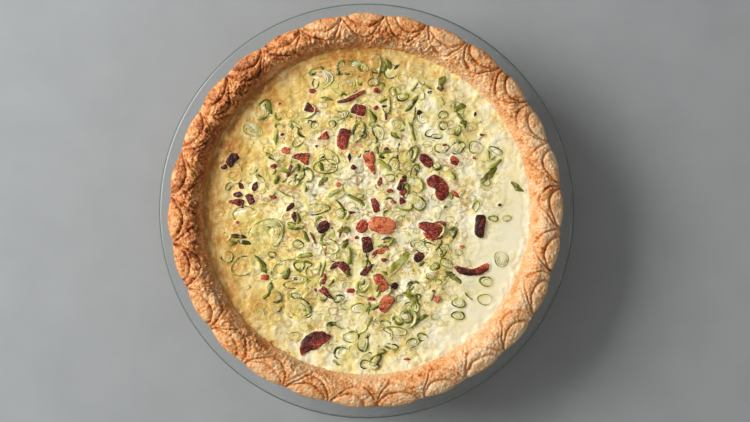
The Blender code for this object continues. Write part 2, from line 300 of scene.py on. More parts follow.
def newObject(name, points, faces, values=None, finish=None):
    # points in millimetres. values holds a number for each point under each attribute's name
    mesh = bpy.data.meshes.new(name)
    mesh.from_pydata([tuple(p) for p in np.asarray(points, float) * mm], [], faces)
    for label, numbers in (values or {}).items():
        layer = mesh.attributes.new(label, "FLOAT", "POINT")
        layer.data.foreach_set("value", np.asarray(numbers, np.float32))
    mesh.shade_smooth()
    if finish:
        mesh.materials.append(finish)
    obj = bpy.data.objects.new(name, mesh)
    bpy.context.scene.collection.objects.link(obj)
    return obj


def settle(obj, slotName, *nodeNames):
    # the piece is whole: it rides on the body and stands for its CAD nodes
    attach(obj, "root")
    if nodeNames:
        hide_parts(*nodeNames)
    faces = sum(len(face.vertices) - 2 for face in obj.data.polygons)
    print("stage:", obj.name, faces, "triangles")
    return obj


def gridFaces(rows, columns):
    # quads between closed rings of points, each ring numbered straight after the last
    start = np.arange(rows - 1)[:, None] * columns
    along = np.arange(columns)[None, :]
    after = (along + 1) % columns
    quads = np.stack([start + along, start + after, start + columns + after,
                      start + columns + along], -1)
    return quads.reshape(-1, 4).tolist()


def turnedBody(name, profile, steps, finish):
    # a closed body from (radius, height) pairs, each end closed to a point on the axis
    angles = tau * np.arange(steps) / steps
    rings = [np.stack([r * np.sin(angles), r * np.cos(angles), np.full(steps, z)], -1)
             for r, z in profile]
    count = len(profile)
    points = np.concatenate(rings + [[[0, 0, profile[0][1]], [0, 0, profile[-1][1]]]])
    faces = gridFaces(count, steps)
    last = (count - 1) * steps
    for i in range(steps):
        j = (i + 1) % steps
        faces.append([j, i, count * steps])
        faces.append([last + i, last + j, count * steps + 1])
    return newObject(name, points, faces, None, finish)


def rounded(corners, radius, steps=6):
    # a (radius, height) line with its inner corners rounded
    line = [corners[0]]
    for before, corner, after in zip(corners, corners[1:], corners[2:]):
        before, corner, after = (np.array(p, float) for p in (before, corner, after))
        arrive = (before - corner) / np.linalg.norm(before - corner)
        leave = (after - corner) / np.linalg.norm(after - corner)
        half = 0.5 * np.arccos(np.clip(arrive @ leave, -1, 1))
        reach = radius / np.tan(half)
        start, end = corner + arrive * reach, corner + leave * reach
        for i in range(steps + 1):
            t = i / steps
            point = (1 - t) ** 2 * start + 2 * t * (1 - t) * corner + t * t * end
            line.append(tuple(point))
    line.append(corners[-1])
    return line



dishLook = {
    "steps": 256,
    "tint": paint(246, 249, 248),
    "edgeTint": paint(66, 112, 100),
}
dishLow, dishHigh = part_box("glass_dish")
dishRadius = dishHigh.x / mm
dishHeight = dishHigh.z / mm
# inside of the dish from the flange down to the floor, (radius, height)
dishInside = rounded([(121.0, dishHeight), (110.0, dishHeight), (85.9, 5.0), (40.0, 5.0)], 4.0)


def dishProfile():
    lip = 2.0
    under = dishHeight - 4.2
    outside = rounded([(40.0, 0.0), (87.0, 0.0), (114.6, under), (118.0, under)], 2.6)
    edge = []
    for i in range(11):
        turn = radians(-84 + 174 * i / 10)
        edge.append((dishRadius - lip + lip * cos(turn), dishHeight - lip + lip * sin(turn)))
    # from the floor inside, up and over the lip, then down to the foot
    return [*outside, *edge, *dishInside][::-1]


def makeGlassDish():
    finish, tree, shader, place = newFinish("glass", IOR=1.47)
    x, y, z = parts(place)
    out = (x * x + y * y).sum("SQRT")
    # painted glow: the lip is painted green and made less clear, standing in for light that has gone a long
    # way through the glass
    edge = ramp(out, 0.1235, 0.1245)
    feed(tree, shader.inputs["Base Color"], mix(edge, dishLook["tint"], dishLook["edgeTint"]))
    feed(tree, shader.inputs["Transmission Weight"], 1.0 - edge * 0.45)
    feed(tree, shader.inputs["Roughness"], ramp(out, 0.1222, 0.1235, 0.03, 0.3))
    addBump(tree, shader, noise(place, 50.0, 1.0), 0.2, 0.2)
    dish = turnedBody("glassDish", dishProfile(), dishLook["steps"], finish)
    dish.visible_shadow = False
    return settle(dish, "glass", "glass_dish")



crustLook = {
    "stamps": 27,
    "columns": 50,          # for each stamp
    "intoGlass": 0.18,      # mm, so no air shows
    "cream": paint(240, 204, 158),
    "pale": paint(232, 182, 132),
    "golden": paint(230, 164, 98),
    "toasted": paint(206, 126, 60),
    "brown": paint(168, 86, 34),
    "dark": paint(92, 42, 12),
    "eggRight": paint(228, 192, 150),
    "eggSeeped": paint(228, 168, 112),
    "eggLeft": paint(212, 134, 60),
}
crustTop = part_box("pastry_crust")[1].z
rimSizes = {
    "Inner Deep": 7.6, "Inner Wide": 0.78, "Outer Deep": 13.6, "Outer Wide": 0.94,
    "Groove Width": 0.52, "Groove Depth": 1.0, "Puff": 0.65, "Shoulder": 3.2, "Drop": 1.4, "Ceiling": 0.9,
    "Waves": 2.2, "Creases": 2.6, "Ridges": 1.5, "Blisters": 0.7, "Grain": 1.8,
}


def clockAngle(place):
    # the clock angle of a place counted in stamps around the rim
    even = tau * place / crustLook["stamps"]
    return radians(-1.9) + even - radians(2.9) * np.cos(even - radians(110))


def rimHeight(inset):
    if inset < 9.0:
        rise = 1.0 - (1.0 - inset / 9.0) ** 2
        return 43.6 + 2.4 * rise ** 0.8
    down = (inset - 9.0) / 9.5
    return 46.0 - 9.2 * down ** 1.7


def edgeOffset(place):
    turn = tau * place / crustLook["stamps"]
    slow = 0.6 * np.sin(3 * turn + 0.5) + 0.4 * np.sin(8 * turn + 2.0)
    return 0.5 * np.cos(tau * place) + slow


def crustRows(place):
    # each row: radius and height for every column, inset, and how much relief it takes
    rows = []
    hidden = [(81.0, 9.6), (85.5, 12.5), (97.6, 34.3)]
    for radius, height in hidden:
        rows.append((radius + 0 * place, height + 0 * place, 24.0, 0.0, 0.0))
    insets = [*np.linspace(18.5, 15.0, 8), *np.linspace(14.6, 0.0, 40)]
    for inset in insets:
        radius = 117.3 - inset + edgeOffset(place) * max(0.0, 1.0 - inset / 14.0)
        relief = float(np.clip((18.0 - inset) / 3.0, 0, 1))
        rows.append((radius, rimHeight(inset) + 0 * place, inset, 1.0, relief))
    edge = [(-0.32, 43.1, 0.9), (-0.5, 42.5, 0.8), (-0.56, 41.9, 0.6), (-0.5, 41.3, 0.4),
            (-0.3, 40.75, 0.2), (0.3, 40.2, 0.05), (1.2, 39.85, 0.0)]
    for inset, height, relief in edge:
        radius = 117.3 - inset + edgeOffset(place)
        rows.append((radius, height + 0 * place, 0.0, relief, min(1.0, relief * 1.3)))
    under = crustLook["intoGlass"]
    glass = np.array(dishInside)
    slope = np.gradient(glass, axis=0)
    outward = np.stack([-slope[:, 1], slope[:, 0]], -1)
    outward /= np.linalg.norm(outward, axis=1)[:, None]
    for (radius, height), (over, down) in list(zip(glass, outward))[::3]:
        if radius < 114.5:
            rows.append((radius + over * under + 0 * place, height + down * under + 0 * place,
                         30.0, 0.0, 0.0))
    return rows


def crustGrid():
    columns = crustLook["stamps"] * crustLook["columns"]
    place = np.arange(columns) / crustLook["columns"] - 0.5
    rows = crustRows(place)
    angle = clockAngle(place)
    points = []
    values = {"place": [], "inset": [], "shown": [], "relief": []}
    for radius, height, inset, shown, relief in rows:
        points.append(np.stack([radius * np.sin(angle), radius * np.cos(angle), height], -1))
        for label, value in (("place", place), ("inset", inset), ("shown", shown), ("relief", relief)):
            values[label].append(value + 0 * place)
    count = len(rows)
    points = np.concatenate(points + [[[0, 0, 9.6], [0, 0, rows[-1][1][0]]]])
    values = {label: np.concatenate(v + [[0, 0]]) for label, v in values.items()}
    faces = gridFaces(count, columns)
    last = (count - 1) * columns
    for i in range(columns):
        j = (i + 1) % columns
        faces.append([j, i, count * columns])
        faces.append([last + i, last + j, count * columns + 1])
    return newObject("pastryCrust", points, faces, values)


def perStamp(tree, stamp, low, high, seed):
    values = {"Min": low, "Max": high, "ID": stamp, "Seed": seed}
    return fromNode(tree, "FunctionNodeRandomValue", "Value", values, data_type="FLOAT")


def pressedRim(finish):
    tree, size = newTree("pressedRim", rimSizes)
    place, inset = attribute(tree, "place"), attribute(tree, "inset")
    shown, relief = attribute(tree, "shown"), attribute(tree, "relief")
    spot = fromNode(tree, "GeometryNodeInputPosition")
    stamp = (place + 0.001).sum("ROUND")
    lean = perStamp(tree, stamp, -0.14, 0.14, 1)
    reach = perStamp(tree, stamp, 0.9, 1.06, 2)
    wide = perStamp(tree, stamp, 0.92, 1.16, 9)
    press = perStamp(tree, stamp, 0.6, 1.35, 3)
    swell = perStamp(tree, stamp, 0.55, 1.4, 5)
    wobble = (noise(spot, 9.0, 3.0) - 0.5) * 0.3
    across = (place - stamp + lean * inset / size["Outer Deep"]) * 2.0

    def arc(wideness, deepness, late):
        # below 0 inside the arc, above 0 outside, in mm. Its clockwise end is the sharper one
        aside = across - late
        sharp = ramp(aside, -0.3, 0.5, 1.95, 1.4)
        side = (aside / wideness).sum("ABSOLUTE") ** sharp
        deep = (inset / deepness) ** sharp
        return ((side + deep) ** (sharp ** -1.0) + wobble - 1.0) * deepness

    innerWide = size["Inner Wide"] * wide
    inner = arc(innerWide, size["Inner Deep"] * reach, size["Outer Wide"] - innerWide)
    outer = arc(size["Outer Wide"], size["Outer Deep"] * reach, 0.0)
    width = size["Groove Width"]
    innerGroove, outerGroove = bell(inner, 0.0, width), bell(outer, 0.0, width)
    third = bell(outer, 2.4, width) * 0.5
    nearest = inner.sum("ABSOLUTE").sum("MINIMUM", outer.sum("ABSOLUTE")) / size["Shoulder"]
    pillow = nearest.sum("MINIMUM", 1.0)
    pillow = (pillow * (2.0 - pillow)) ** 0.6
    puff = ramp(inner, 0.5, -3.0) * swell
    fade = ramp(inset, 17.5, 13.5)
    strength = ramp(noise(spot, 14.0, 1.0), 0.3, 0.6, 0.5, 1.15)
    grooves = (innerGroove + outerGroove + third) * press * strength * size["Groove Depth"]
    pattern = (pillow + puff * 0.35) * size["Puff"] - grooves
    waves = (noise(spot, 13.0, 2.0) - 0.5) * size["Waves"]
    inward = ramp(inset, 4.0, 13.0, 0.35, 1.0)
    creases = (noise(spot, 4.0, 3.0, 0.65, 1.0) - 0.5) * size["Creases"] * inward
    bent = (noise(spot, 5.5, 2.0, 0.5, 1.5) - 0.5).sum("ABSOLUTE")
    x, y, z = parts(spot)
    leftness = ramp((y * 0.5 - x * 0.87) / 0.115, -0.7, 0.5, 0.15, 1.0)
    ridges = ramp(bent, 0.1, 0.0) * size["Ridges"] * ramp(inset, 3.0, 10.0, 0.15, 1.0) * leftness
    creases = creases + ridges * ramp(noise(spot, 20.0, 1.0), 0.35, 0.6, 0.2, 1.0)
    some = ramp(noise(spot, 7.0, 2.0), 0.4, 0.6)
    blister = ramp(cells(spot, 2.8), 0.5, 0.1) * some
    grain = (noise(spot, 1.3, 3.0, 0.7) - 0.5) * size["Grain"]
    rise = (pattern * fade + waves + creases) * relief
    fine = (blister * size["Blisters"] + grain) * shown
    normal = fromNode(tree, "GeometryNodeInputNormal")
    level = ramp(inset, 0.0, 3.0, 0.35, 1.0)
    push = vectorSum(normal, "MULTIPLY", joinParts(tree, level, level, 1.0))
    push = vectorSum(push, "SCALE", (rise + fine) * mm)
    push = vectorSum(push, "ADD", joinParts(tree, 0.0, 0.0, relief * size["Drop"] * -mm))
    # nothing comes out over the top of the solid: what would is eased flat
    newX, newY, newZ = parts(vectorSum(spot, "ADD", push))
    start = crustTop - (size["Ceiling"] + 0.1) * mm
    over = (newZ - start).sum("MAXIMUM", 0.0) / (size["Ceiling"] * mm)
    eased = (1.0 - (-over).sum("EXPONENT")) * size["Ceiling"] * mm
    newPlace = joinParts(tree, newX, newY, newZ.sum("MINIMUM", start) + eased)
    shape = keepValue(size["Geometry"], "groove", (innerGroove + outerGroove) * fade * relief)
    shape = keepValue(shape, "rise", pillow * fade)
    shape = keepValue(shape, "blister", blister * shown)
    shape = keepValue(shape, "crease", creases + grain)
    shape = fromNode(tree, "GeometryNodeSetPosition", "Geometry",
                     {"Geometry": shape, "Position": newPlace})
    finishTree(shape, finish)
    return tree


def pastryFinish():
    finish, tree, shader, place = newFinish("pastry")
    inset, groove = attribute(tree, "inset"), attribute(tree, "groove")
    rise, blister = attribute(tree, "rise"), attribute(tree, "blister")
    crease = attribute(tree, "crease")
    x, y, z = parts(place)
    big, middle = noise(place, 24.0, 2.0), noise(place, 6.0, 4.0, 0.65, 0.6)
    small, fine = noise(place, 2.2, 3.0, 0.7), noise(place, 0.9, 3.0, 0.7)
    flakes = (noise(place, 7.0, 3.0, 0.6) * 9.0).sum("FRACT")
    leftness = (y * 0.5 - x * 0.87) / 0.115
    toast = (big - 0.5) * 0.9 + (middle - 0.5) * 1.3 + (small - 0.5) * 1.0 + (fine - 0.5) * 1.1
    # painted shade: the inner slope on the left, which faces away from the lamp, is browned darker
    shadedSlope = ramp(leftness, 0.4, 0.95) * ramp(inset, 6.0, 13.0)
    # the grooves are darker, partly a deeper bake and partly painted shade in their hollows
    toast = toast + leftness * 0.12 + shadedSlope * 0.14 + groove * 0.2 - crease * 0.14
    toast = toast + ramp(leftness, 0.5, 0.95) * 0.18
    toast = toast + blister * 0.1 + ramp(flakes, 0.75, 1.0) * 0.08 + 0.37 - rise * 0.04
    outer = ramp(inset, 8.0, 2.0)
    # the outer edge is paler all round, and painted lighter on the right, as painted light where that edge
    # faces away from the lamp
    toast = toast - outer * 0.06 - outer * ramp(leftness, -0.3, -0.8) * 0.06
    toast = toast + ramp(leftness, 0.0, -0.7) * ramp(inset, 7.0, 13.0) * 0.04
    colour = shades(toast, (0.0, crustLook["cream"]), (1.0, crustLook["dark"]),
                    (0.2, crustLook["pale"]), (0.4, crustLook["golden"]),
                    (0.6, crustLook["toasted"]), (0.8, crustLook["brown"]))
    # egg from the filling has run up the slope here and there
    film = ramp(inset + (middle - 0.5) * 9.0, 16.0, 18.6) * ramp(small, 0.2, 0.6)
    eggy = mix(ramp(big + small * 0.3, 0.6, 0.75), crustLook["eggRight"], crustLook["eggSeeped"])
    eggy = mix(ramp(leftness, -0.4, 0.4), eggy, crustLook["eggLeft"])
    colour = mix(film * 0.7, colour, eggy)
    feed(tree, shader.inputs["Base Color"], colour)
    feed(tree, shader.inputs["Roughness"], ramp(middle, 0.3, 0.7, 0.4, 0.65))
    addBump(tree, shader, small * 0.5 + fine * 0.4 + ramp(flakes, 0.8, 1.0) * 0.12, 1.0, 0.7)
    return finish


def makeCrust():
    finish = pastryFinish()
    crust = crustGrid()
    runTree(crust, pressedRim(finish), rimSizes)
    return settle(crust, "pastry", "pastry_crust")



custardLook = {
    "rings": 150,
    "radius": 99.4,
    "white": paint(255, 248, 218),
    "cream": paint(255, 242, 188),
    "straw": paint(250, 230, 154),
    "yellow": paint(242, 206, 116),
    "ochre": paint(214, 156, 82),
    "curd": paint(255, 250, 222),
    "golden": paint(228, 194, 104),
    "halo": paint(250, 228, 186),
    "speck": paint(196, 142, 84),
    "stain": paint(182, 130, 68),
    "green": paint(216, 210, 122),
    "olive": paint(128, 128, 44),
    "browned": paint(184, 116, 44),
    "toasted": paint(172, 94, 38),
}
custardSizes = {"Swell": 1.5, "Lumps": 1.0, "Curds": 0.3, "Wrinkles": 0.35}


def custardHeight(x, y):
    out = np.minimum(1.0, np.hypot(x, y) / 98.8)
    swell = np.sin(x / 13.0 + 0.7) * np.cos(y / 16.0 - 0.4) + 0.6 * np.sin((x + y) / 11.0)
    return 36.45 + (1.0 - out * out) * (1.2 + 0.4 * swell)


def custardGrid():
    rings, radius = custardLook["rings"], custardLook["radius"]
    points = [(0.0, 0.0)]
    for i in range(1, rings + 1):
        turn = tau * np.arange(6 * i) / (6 * i)
        points += zip(radius * i / rings * np.cos(turn), radius * i / rings * np.sin(turn))
    flat = np.array(points)
    first = lambda i: 0 if i == 0 else 1 + 3 * i * (i - 1)
    faces = []
    for i in range(rings):
        here, there = first(i), first(i + 1)
        for side in range(6):
            for k in range(i + 1):
                a = there + side * (i + 1) + k
                b = there + (side * (i + 1) + k + 1) % (6 * (i + 1))
                c = here + (side * i + k) % max(1, 6 * i)
                faces.append((a, b, c))
                if k < i:
                    d = here + (side * i + k + 1) % (6 * i)
                    faces.append((c, b, d))
    top = len(flat)
    heights = custardHeight(flat[:, 0], flat[:, 1])
    body = [np.column_stack([flat, heights])]
    edge = 6 * rings
    turn = tau * np.arange(edge) / edge
    below = [(98.6, 35.6), (96.6, 33.2), (85.0, 12.5), (80.6, 10.0)]
    for r, z in below:
        body.append(np.column_stack([r * np.cos(turn), r * np.sin(turn), np.full(edge, z)]))
    body.append([[0, 0, 10.0]])
    rows = [np.arange(edge) + first(rings)] + [top + n * edge + np.arange(edge) for n in range(4)]
    for upper, lower in zip(rows, rows[1:]):
        for i in range(edge):
            j = (i + 1) % edge
            faces.append((upper[i], lower[i], lower[j], upper[j]))
    bottom = top + 4 * edge
    for i in range(edge):
        faces.append((rows[-1][i], bottom, rows[-1][(i + 1) % edge]))
    points = np.concatenate(body)
    shown = np.zeros(len(points))
    shown[:top] = 1.0
    return newObject("custardFilling", points, [tuple(int(v) for v in f) for f in faces], {"shown": shown})


def bakedTop(finish):
    tree, size = newTree("bakedTop", custardSizes)
    spot = fromNode(tree, "GeometryNodeInputPosition")
    shown = attribute(tree, "shown")
    x, y, z = parts(spot)
    out = (x * x + y * y).sum("SQRT")
    inside = ramp(out, 0.0985, 0.094, 0.25, 1.0)
    swell = (noise(spot, 24.0, 1.0) - 0.5) * 2.0 * size["Swell"]
    lumps = (noise(spot, 8.0, 2.0, 0.5, 0.6) - 0.5) * 2.0 * size["Lumps"]
    curd = ramp(cells(spot, 5.0, spread=0.9), 0.75, 0.1) - 0.35
    curds = curd * ramp(noise(spot, 16.0, 1.0), 0.4, 0.65) * size["Curds"]
    wrinkles = (noise(stretch(spot, (1.0, 0.55, 1.0), 0.5), 2.6, 3.0) - 0.5) * 2.0 * size["Wrinkles"]
    wrinkles = wrinkles * ramp(noise(spot, 16.0, 1.0), 0.42, 0.6, 0.25, 1.0)
    calm = ramp(x * 0.94 - y * 0.34, 0.058, 0.085, 1.0, 0.12)
    ragged = (noise(spot, 6.0, 3.0) - 0.5) * 3.0 * ramp(out, 0.092, 0.097)
    rise = ((swell + lumps + curds + wrinkles) * inside * calm + ragged) * shown
    shape = keepValue(size["Geometry"], "lump", lumps + curds + wrinkles)
    shape = fromNode(tree, "GeometryNodeSetPosition", "Geometry",
                     {"Geometry": shape, "Offset": joinParts(tree, 0.0, 0.0, rise * mm)})
    finishTree(shape, finish)
    return tree


def ghostRing(place, size, radius, seed):
    # faint outlines of slices just under the skin, one in each cell
    spot = stretch(place, (1.0, 1.35, 1.0), 0.7 * seed, (0.11 * seed, 0.07 * seed, 0.0))
    warp = noise(place, 5.0, 2.0) * 0.25
    chance = parts(cells(spot, size, "Color", 0.9))[0]
    reach = radius * (0.6 + chance * 0.6)
    line = bell(cells(spot, size, "Distance", 0.9) + warp - 0.12, reach, 0.07)
    return line * ramp(chance, 0.2, 0.3)


def custardFinish():
    finish, tree, shader, place = newFinish("custard", Subsurface_Weight=0.1,
                                            Specular_IOR_Level=0.35,
                                            Subsurface_Radius=(1.0, 0.6, 0.3),
                                            Subsurface_Scale=0.002)
    lump, green = attribute(tree, "lump"), attribute(tree, "nearGreen")
    bacon = attribute(tree, "nearBacon")
    x, y, z = parts(place)
    out = (x * x + y * y).sum("SQRT")
    big, middle = noise(place, 26.0, 2.0), noise(place, 9.0, 2.0, 0.5, 0.7)
    small, fine = noise(place, 2.4, 3.0, 0.65), noise(place, 0.9, 2.0, 0.65)
    right = ramp(x * 0.94 - y * 0.34, 0.05, 0.085)
    # towards the upper left, from -1 to 1
    facing = (y * 0.5 - x * 0.87) / out.sum("MAXIMUM", 0.001)
    curdled = ramp(noise(place, 16.0, 2.0), 0.4, 0.6) * (1.0 - right)
    warm = (big - 0.5) * 1.5 + (middle - 0.5) * 1.5 + (small - 0.5) * 0.3 + 0.36
    warm = warm + ramp(facing, -0.3, 0.8) * ramp(out, 0.025, 0.07) * 0.28
    warm = warm * (1.0 - right * 0.75) + ((small - 0.5) * 0.8 + (fine - 0.5) * 0.7) * curdled
    colour = shades(warm, (0.0, custardLook["white"]), (1.0, custardLook["ochre"]),
                    (0.25, custardLook["cream"]), (0.5, custardLook["straw"]),
                    (0.75, custardLook["yellow"]))
    curd = ramp(noise(place, 4.5, 1.0, 0.5, 0.5), 0.56, 0.64)
    colour = mix(curd * 0.5, colour, custardLook["curd"])
    ghosts = ghostRing(place, 9.0, 0.42, 1) + ghostRing(place, 7.0, 0.4, 2)
    patch = ramp(noise(stretch(place, shift=(0.1, 0.03, 0)), 17.0, 2.0), 0.36, 0.56)
    inner = ramp(out, 0.095, 0.086) * (1.0 - right * 0.9)
    ghosts = ghosts * patch * inner
    colour = mix(ghosts * 0.5, colour, custardLook["olive"])
    stained = green * ramp(middle, 0.3, 0.6) * (0.6 - right * 0.4)
    colour = mix(stained, colour, custardLook["green"])
    # fat from the bacon has browned the middle in patches
    seeped = ramp(noise(place, 4.6, 3.0, 0.65, 1.2), 0.51, 0.64) * ramp(out, 0.092, 0.05, 0.4, 1.0)
    colour = mix(seeped * (1.0 - right) * 0.75, colour, custardLook["stain"])
    colour = mix(bacon * 0.6, colour, custardLook["halo"])
    specks = ramp(fine * 0.6 + small * 0.4, 0.54, 0.62) * curdled
    colour = mix(specks * 0.35, colour, custardLook["speck"])
    # golden and browned in streaks along the upper-left edge, partly real browning and partly painted shade
    # where the rim shades that edge; toasted in spots on the lumps
    polar = joinParts(tree, out, x.sum("ARCTAN2", y) * 0.018, 0.0)
    streaks = noise(polar, 2.6, 3.0, 0.6)
    golden = ramp(facing, -0.4, 0.7) * ramp(out + (big - 0.5) * 0.06, 0.06, 0.092)
    colour = mix(golden * 0.7, colour, custardLook["golden"])
    browned = ramp(facing, -0.1, 0.8) * ramp(out + (big - 0.5) * 0.05, 0.07, 0.095)
    browned = browned * ramp(middle * 0.7 + small * 0.4 + streaks * 0.8, 0.78, 1.05, 0.3, 1.0)
    colour = mix(browned * 0.95, colour, custardLook["browned"])
    spots = ramp(small, 0.54, 0.68) * ramp(big, 0.45, 0.58) * ramp(middle, 0.5, 0.6)
    colour = mix(spots * (1.0 - right) * 0.7, colour, custardLook["toasted"])
    feed(tree, shader.inputs["Base Color"], colour)
    feed(tree, shader.inputs["Roughness"], ramp(small, 0.3, 0.7, 0.25, 0.45))
    height = small * (curdled * 0.45 + 0.12) + fine * curdled * 0.35 + ghosts * 0.2
    addBump(tree, shader, height, 1.0, 0.75)
    return finish


def makeCustard():
    finish = custardFinish()
    custard = custardGrid()
    return runTree(custard, bakedTop(finish), custardSizes), finish


settleSizes = {"Green Reach": 2.4, "Bacon Reach": 1.8, "Rise": 0.4}


def settledTop(finish, greens, meats):
    # stains the custard round what lies in it, and lets its skin climb a little there
    sizes = {**settleSizes, "Greens": greens, "Meats": meats}
    tree, size = newTree("settledTop", sizes)
    shown = attribute(tree, "shown")

    def near(things, reach):
        shape = fromNode(tree, "GeometryNodeObjectInfo", "Geometry", {"Object": size[things]})
        away = fromNode(tree, "GeometryNodeProximity", "Distance", {0: shape}, target_element="FACES")
        return ramp(away / mm, size[reach], 0.0) * shown

    green, meat = near("Greens", "Green Reach"), near("Meats", "Bacon Reach")
    climb = (ramp(green, 0.6, 1.0) * 0.6).sum("MAXIMUM", ramp(meat, 0.4, 1.0))
    shape = keepValue(size["Geometry"], "nearGreen", green)
    shape = keepValue(shape, "nearBacon", meat)
    lift = joinParts(tree, 0.0, 0.0, climb * size["Rise"] * mm)
    shape = fromNode(tree, "GeometryNodeSetPosition", "Geometry", {"Geometry": shape, "Offset": lift})
    finishTree(shape, finish)
    return tree, sizes


def joined(name, pieces):
    # one object with the faces of several, to measure from
    heap = Heap()
    for piece in pieces:
        points = np.array([v.co for v in piece.data.vertices]) / mm
        heap.add(points, [face.vertices for face in piece.data.polygons])
    return heap.build(name, None)


def settleCustard(custard, finish, greens, meats):
    helpers = [joined("greens", greens), joined("meats", meats)]
    tree, sizes = settledTop(finish, *helpers)
    runTree(custard, tree, sizes)
    for helper in helpers:
        bpy.data.objects.remove(helper)
    return settle(custard, "custard", "custard")


class Surface:
    # finds the height of a finished top, in millimetres
    def __init__(self, obj):
        mesh = obj.data
        self.tree = BVHTree.FromPolygons([v.co for v in mesh.vertices],
                                         [p.vertices for p in mesh.polygons])

    def height(self, x, y):
        hit = self.tree.ray_cast(Vector((x * mm, y * mm, 0.1)), Vector((0, 0, -1)))[0]
        return hit.z / mm



class Heap:
    # gathers many small shapes into one mesh, with a number for each point under each name
    def __init__(self, *labels):
        self.points = []
        self.faces = []
        self.values = {label: [] for label in labels}
        self.count = 0

    def add(self, points, faces, **values):
        self.points.append(np.asarray(points, float))
        self.faces += [tuple(int(corner) + self.count for corner in face) for face in faces]
        for label, numbers in self.values.items():
            numbers.append(np.broadcast_to(values.get(label, 0.0), len(points)))
        self.count += len(points)

    def build(self, name, finish):
        values = {label: np.concatenate(numbers) for label, numbers in self.values.items()}
        return newObject(name, np.concatenate(self.points), self.faces, values, finish)


def nodePlace(name):
    # middle, length, width and turn of a CAD node seen from above, in millimetres and degrees
    flat = np.array([v.co[:2] for v in cadNodes[name].data.vertices]) / mm
    low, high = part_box(name)
    middle = np.array([low.x + high.x, low.y + high.y]) / 2 / mm
    away = np.unique(np.round(flat - middle, 3), axis=0)
    spread = np.linalg.eigh(away.T @ away)[1]
    along = away @ spread[:, 1]
    across = away @ spread[:, 0]
    turn = np.degrees(np.arctan2(spread[1, 1], spread[0, 1]))
    return middle[0], middle[1], np.ptp(along), np.ptp(across), turn


def numbered(start):
    return sorted(name for name in cadNodes if name.startswith(start))


def laid(x, y, turn, along, across):
    side, up = cos(radians(turn)), sin(radians(turn))
    return x + along * side - across * up, y + along * up + across * side



baconLook = {
    "spread": 1.08,      # makes up for the smoothing
    "sink": 0.35,        # mm into the custard
    "thick": 1.5,        # mm over the custard
    "black": paint(38, 14, 12),
    "maroon": paint(98, 24, 16),
    "red": paint(142, 38, 22),
    "rust": paint(188, 76, 38),
    "orange": paint(224, 124, 76),
    "fat": paint(234, 176, 136),
}
baconSizes = {"Ragged": 0.3, "Fine": 0.26, "Wavy": 0.5, "Level": 2}
# outlines of the cuts, from -1 to 1 along and across
baconForms = {
    "strip": [(-1, -0.5), (-0.4, -1), (0.4, -0.8), (0.95, -0.6), (1, 0.4), (0.3, 0.9), (-0.4, 0.7),
              (-0.9, 0.6)],
    "wedge": [(-0.95, -0.9), (-0.2, -0.8), (0.5, -0.5), (1, -0.1), (0.9, 0.3), (0.2, 0.4),
              (-0.4, 0.9), (-0.95, 0.95), (-0.85, 0)],
    "block": [(-0.95, -0.8), (0, -0.85), (0.85, -0.95), (0.95, 0), (0.8, 0.9), (0, 0.95),
              (-0.7, 0.85), (-1, 0.1)],
    "round": [(-1, 0), (-0.75, -0.75), (0, -1), (0.7, -0.8), (1, -0.1), (0.8, 0.7), (0.1, 1),
              (-0.7, 0.8)],
    "boot": [(-1, -0.5), (-0.5, -0.75), (0, -0.3), (0.35, -0.9), (1, -0.8), (1, 0.2), (0.6, 0.85),
             (-0.2, 1), (-0.9, 0.6)],
    "half": [(-1, -0.5), (-0.5, -0.5), (-0.1, -0.95), (0.6, -0.9), (1, -0.5), (0.8, 0.4), (0.3, 0.9),
             (-0.3, 0.95), (-0.8, 0.4)],
    "crescent": [(-1, 0.4), (-0.8, -0.4), (-0.3, -0.95), (0.3, -1), (0.8, -0.5), (1, 0.5), (0.8, 0.9),
                 (0.4, 0.4), (0, 0.1), (-0.4, 0.2), (-0.7, 0.7), (-0.95, 0.8)],
    "tee": [(-1, 0.9), (-1, 0.3), (-0.5, 0.0), (-0.5, -0.9), (0.2, -1.1), (0.8, -0.8), (0.8, -0.1),
            (1, 0.5), (1, 1), (0.5, 1.1), (0.0, 0.8), (-0.5, 1)],
}
# for each piece: form, turn, bow in mm, how light it is, and how much lighter to the right, upwards
baconCuts = [
    ("strip", 24, 1.5, 0.45, 0.3, 0.0), ("wedge", -20, 0.0, 0.35, 0.55, -0.1),
    ("block", -15, 0.0, 0.3, 0.2, 0.0), ("block", 78, 0.0, 0.45, -0.1, -0.1),
    ("wedge", 205, 0.0, 0.68, 0.0, -0.1), ("wedge", 170, 0.0, 0.66, 0.1, 0.0),
    ("strip", 68, 0.5, 0.4, 0.0, 0.0), ("block", 55, 0.0, 0.04, 0.0, 0.0),
    ("wedge", 168, 0.5, 0.38, 0.0, 0.0), ("block", -60, 0.0, 0.2, 0.0, 0.1),
    ("wedge", -72, 0.0, 0.82, 0.0, 0.1), ("round", -48, 0.0, 0.4, 0.1, 0.0),
    ("boot", -48, 0.0, 0.42, 0.1, 0.0), ("strip", 64, 0.6, 0.3, 0.0, 0.0),
    ("block", -72, 0.0, 0.42, 0.0, 0.0), ("round", 38, 0.0, 0.1, 0.1, 0.0),
    ("round", 60, 0.0, 0.7, 0.0, 0.0), ("round", -8, 0.0, 0.95, 0.0, 0.0),
    ("block", -80, 0.0, 0.3, 0.0, 0.1), ("block", -42, 0.0, 0.45, 0.0, -0.4),
    ("wedge", -42, 0.0, 0.5, -0.2, 0.0), ("half", 36, -1.2, 0.42, 0.25, -0.35),
    ("block", -62, 0.0, 0.84, 0.1, 0.0), ("block", 52, 0.0, 0.86, 0.0, 0.1),
    ("round", 55, 0.0, 0.24, 0.0, 0.0), ("tee", 0, 0.0, 0.48, 0.0, 0.0),
    ("block", 84, 0.0, 0.12, 0.1, 0.1), ("crescent", 4, 0.0, 0.46, 0.1, 0.6),
]
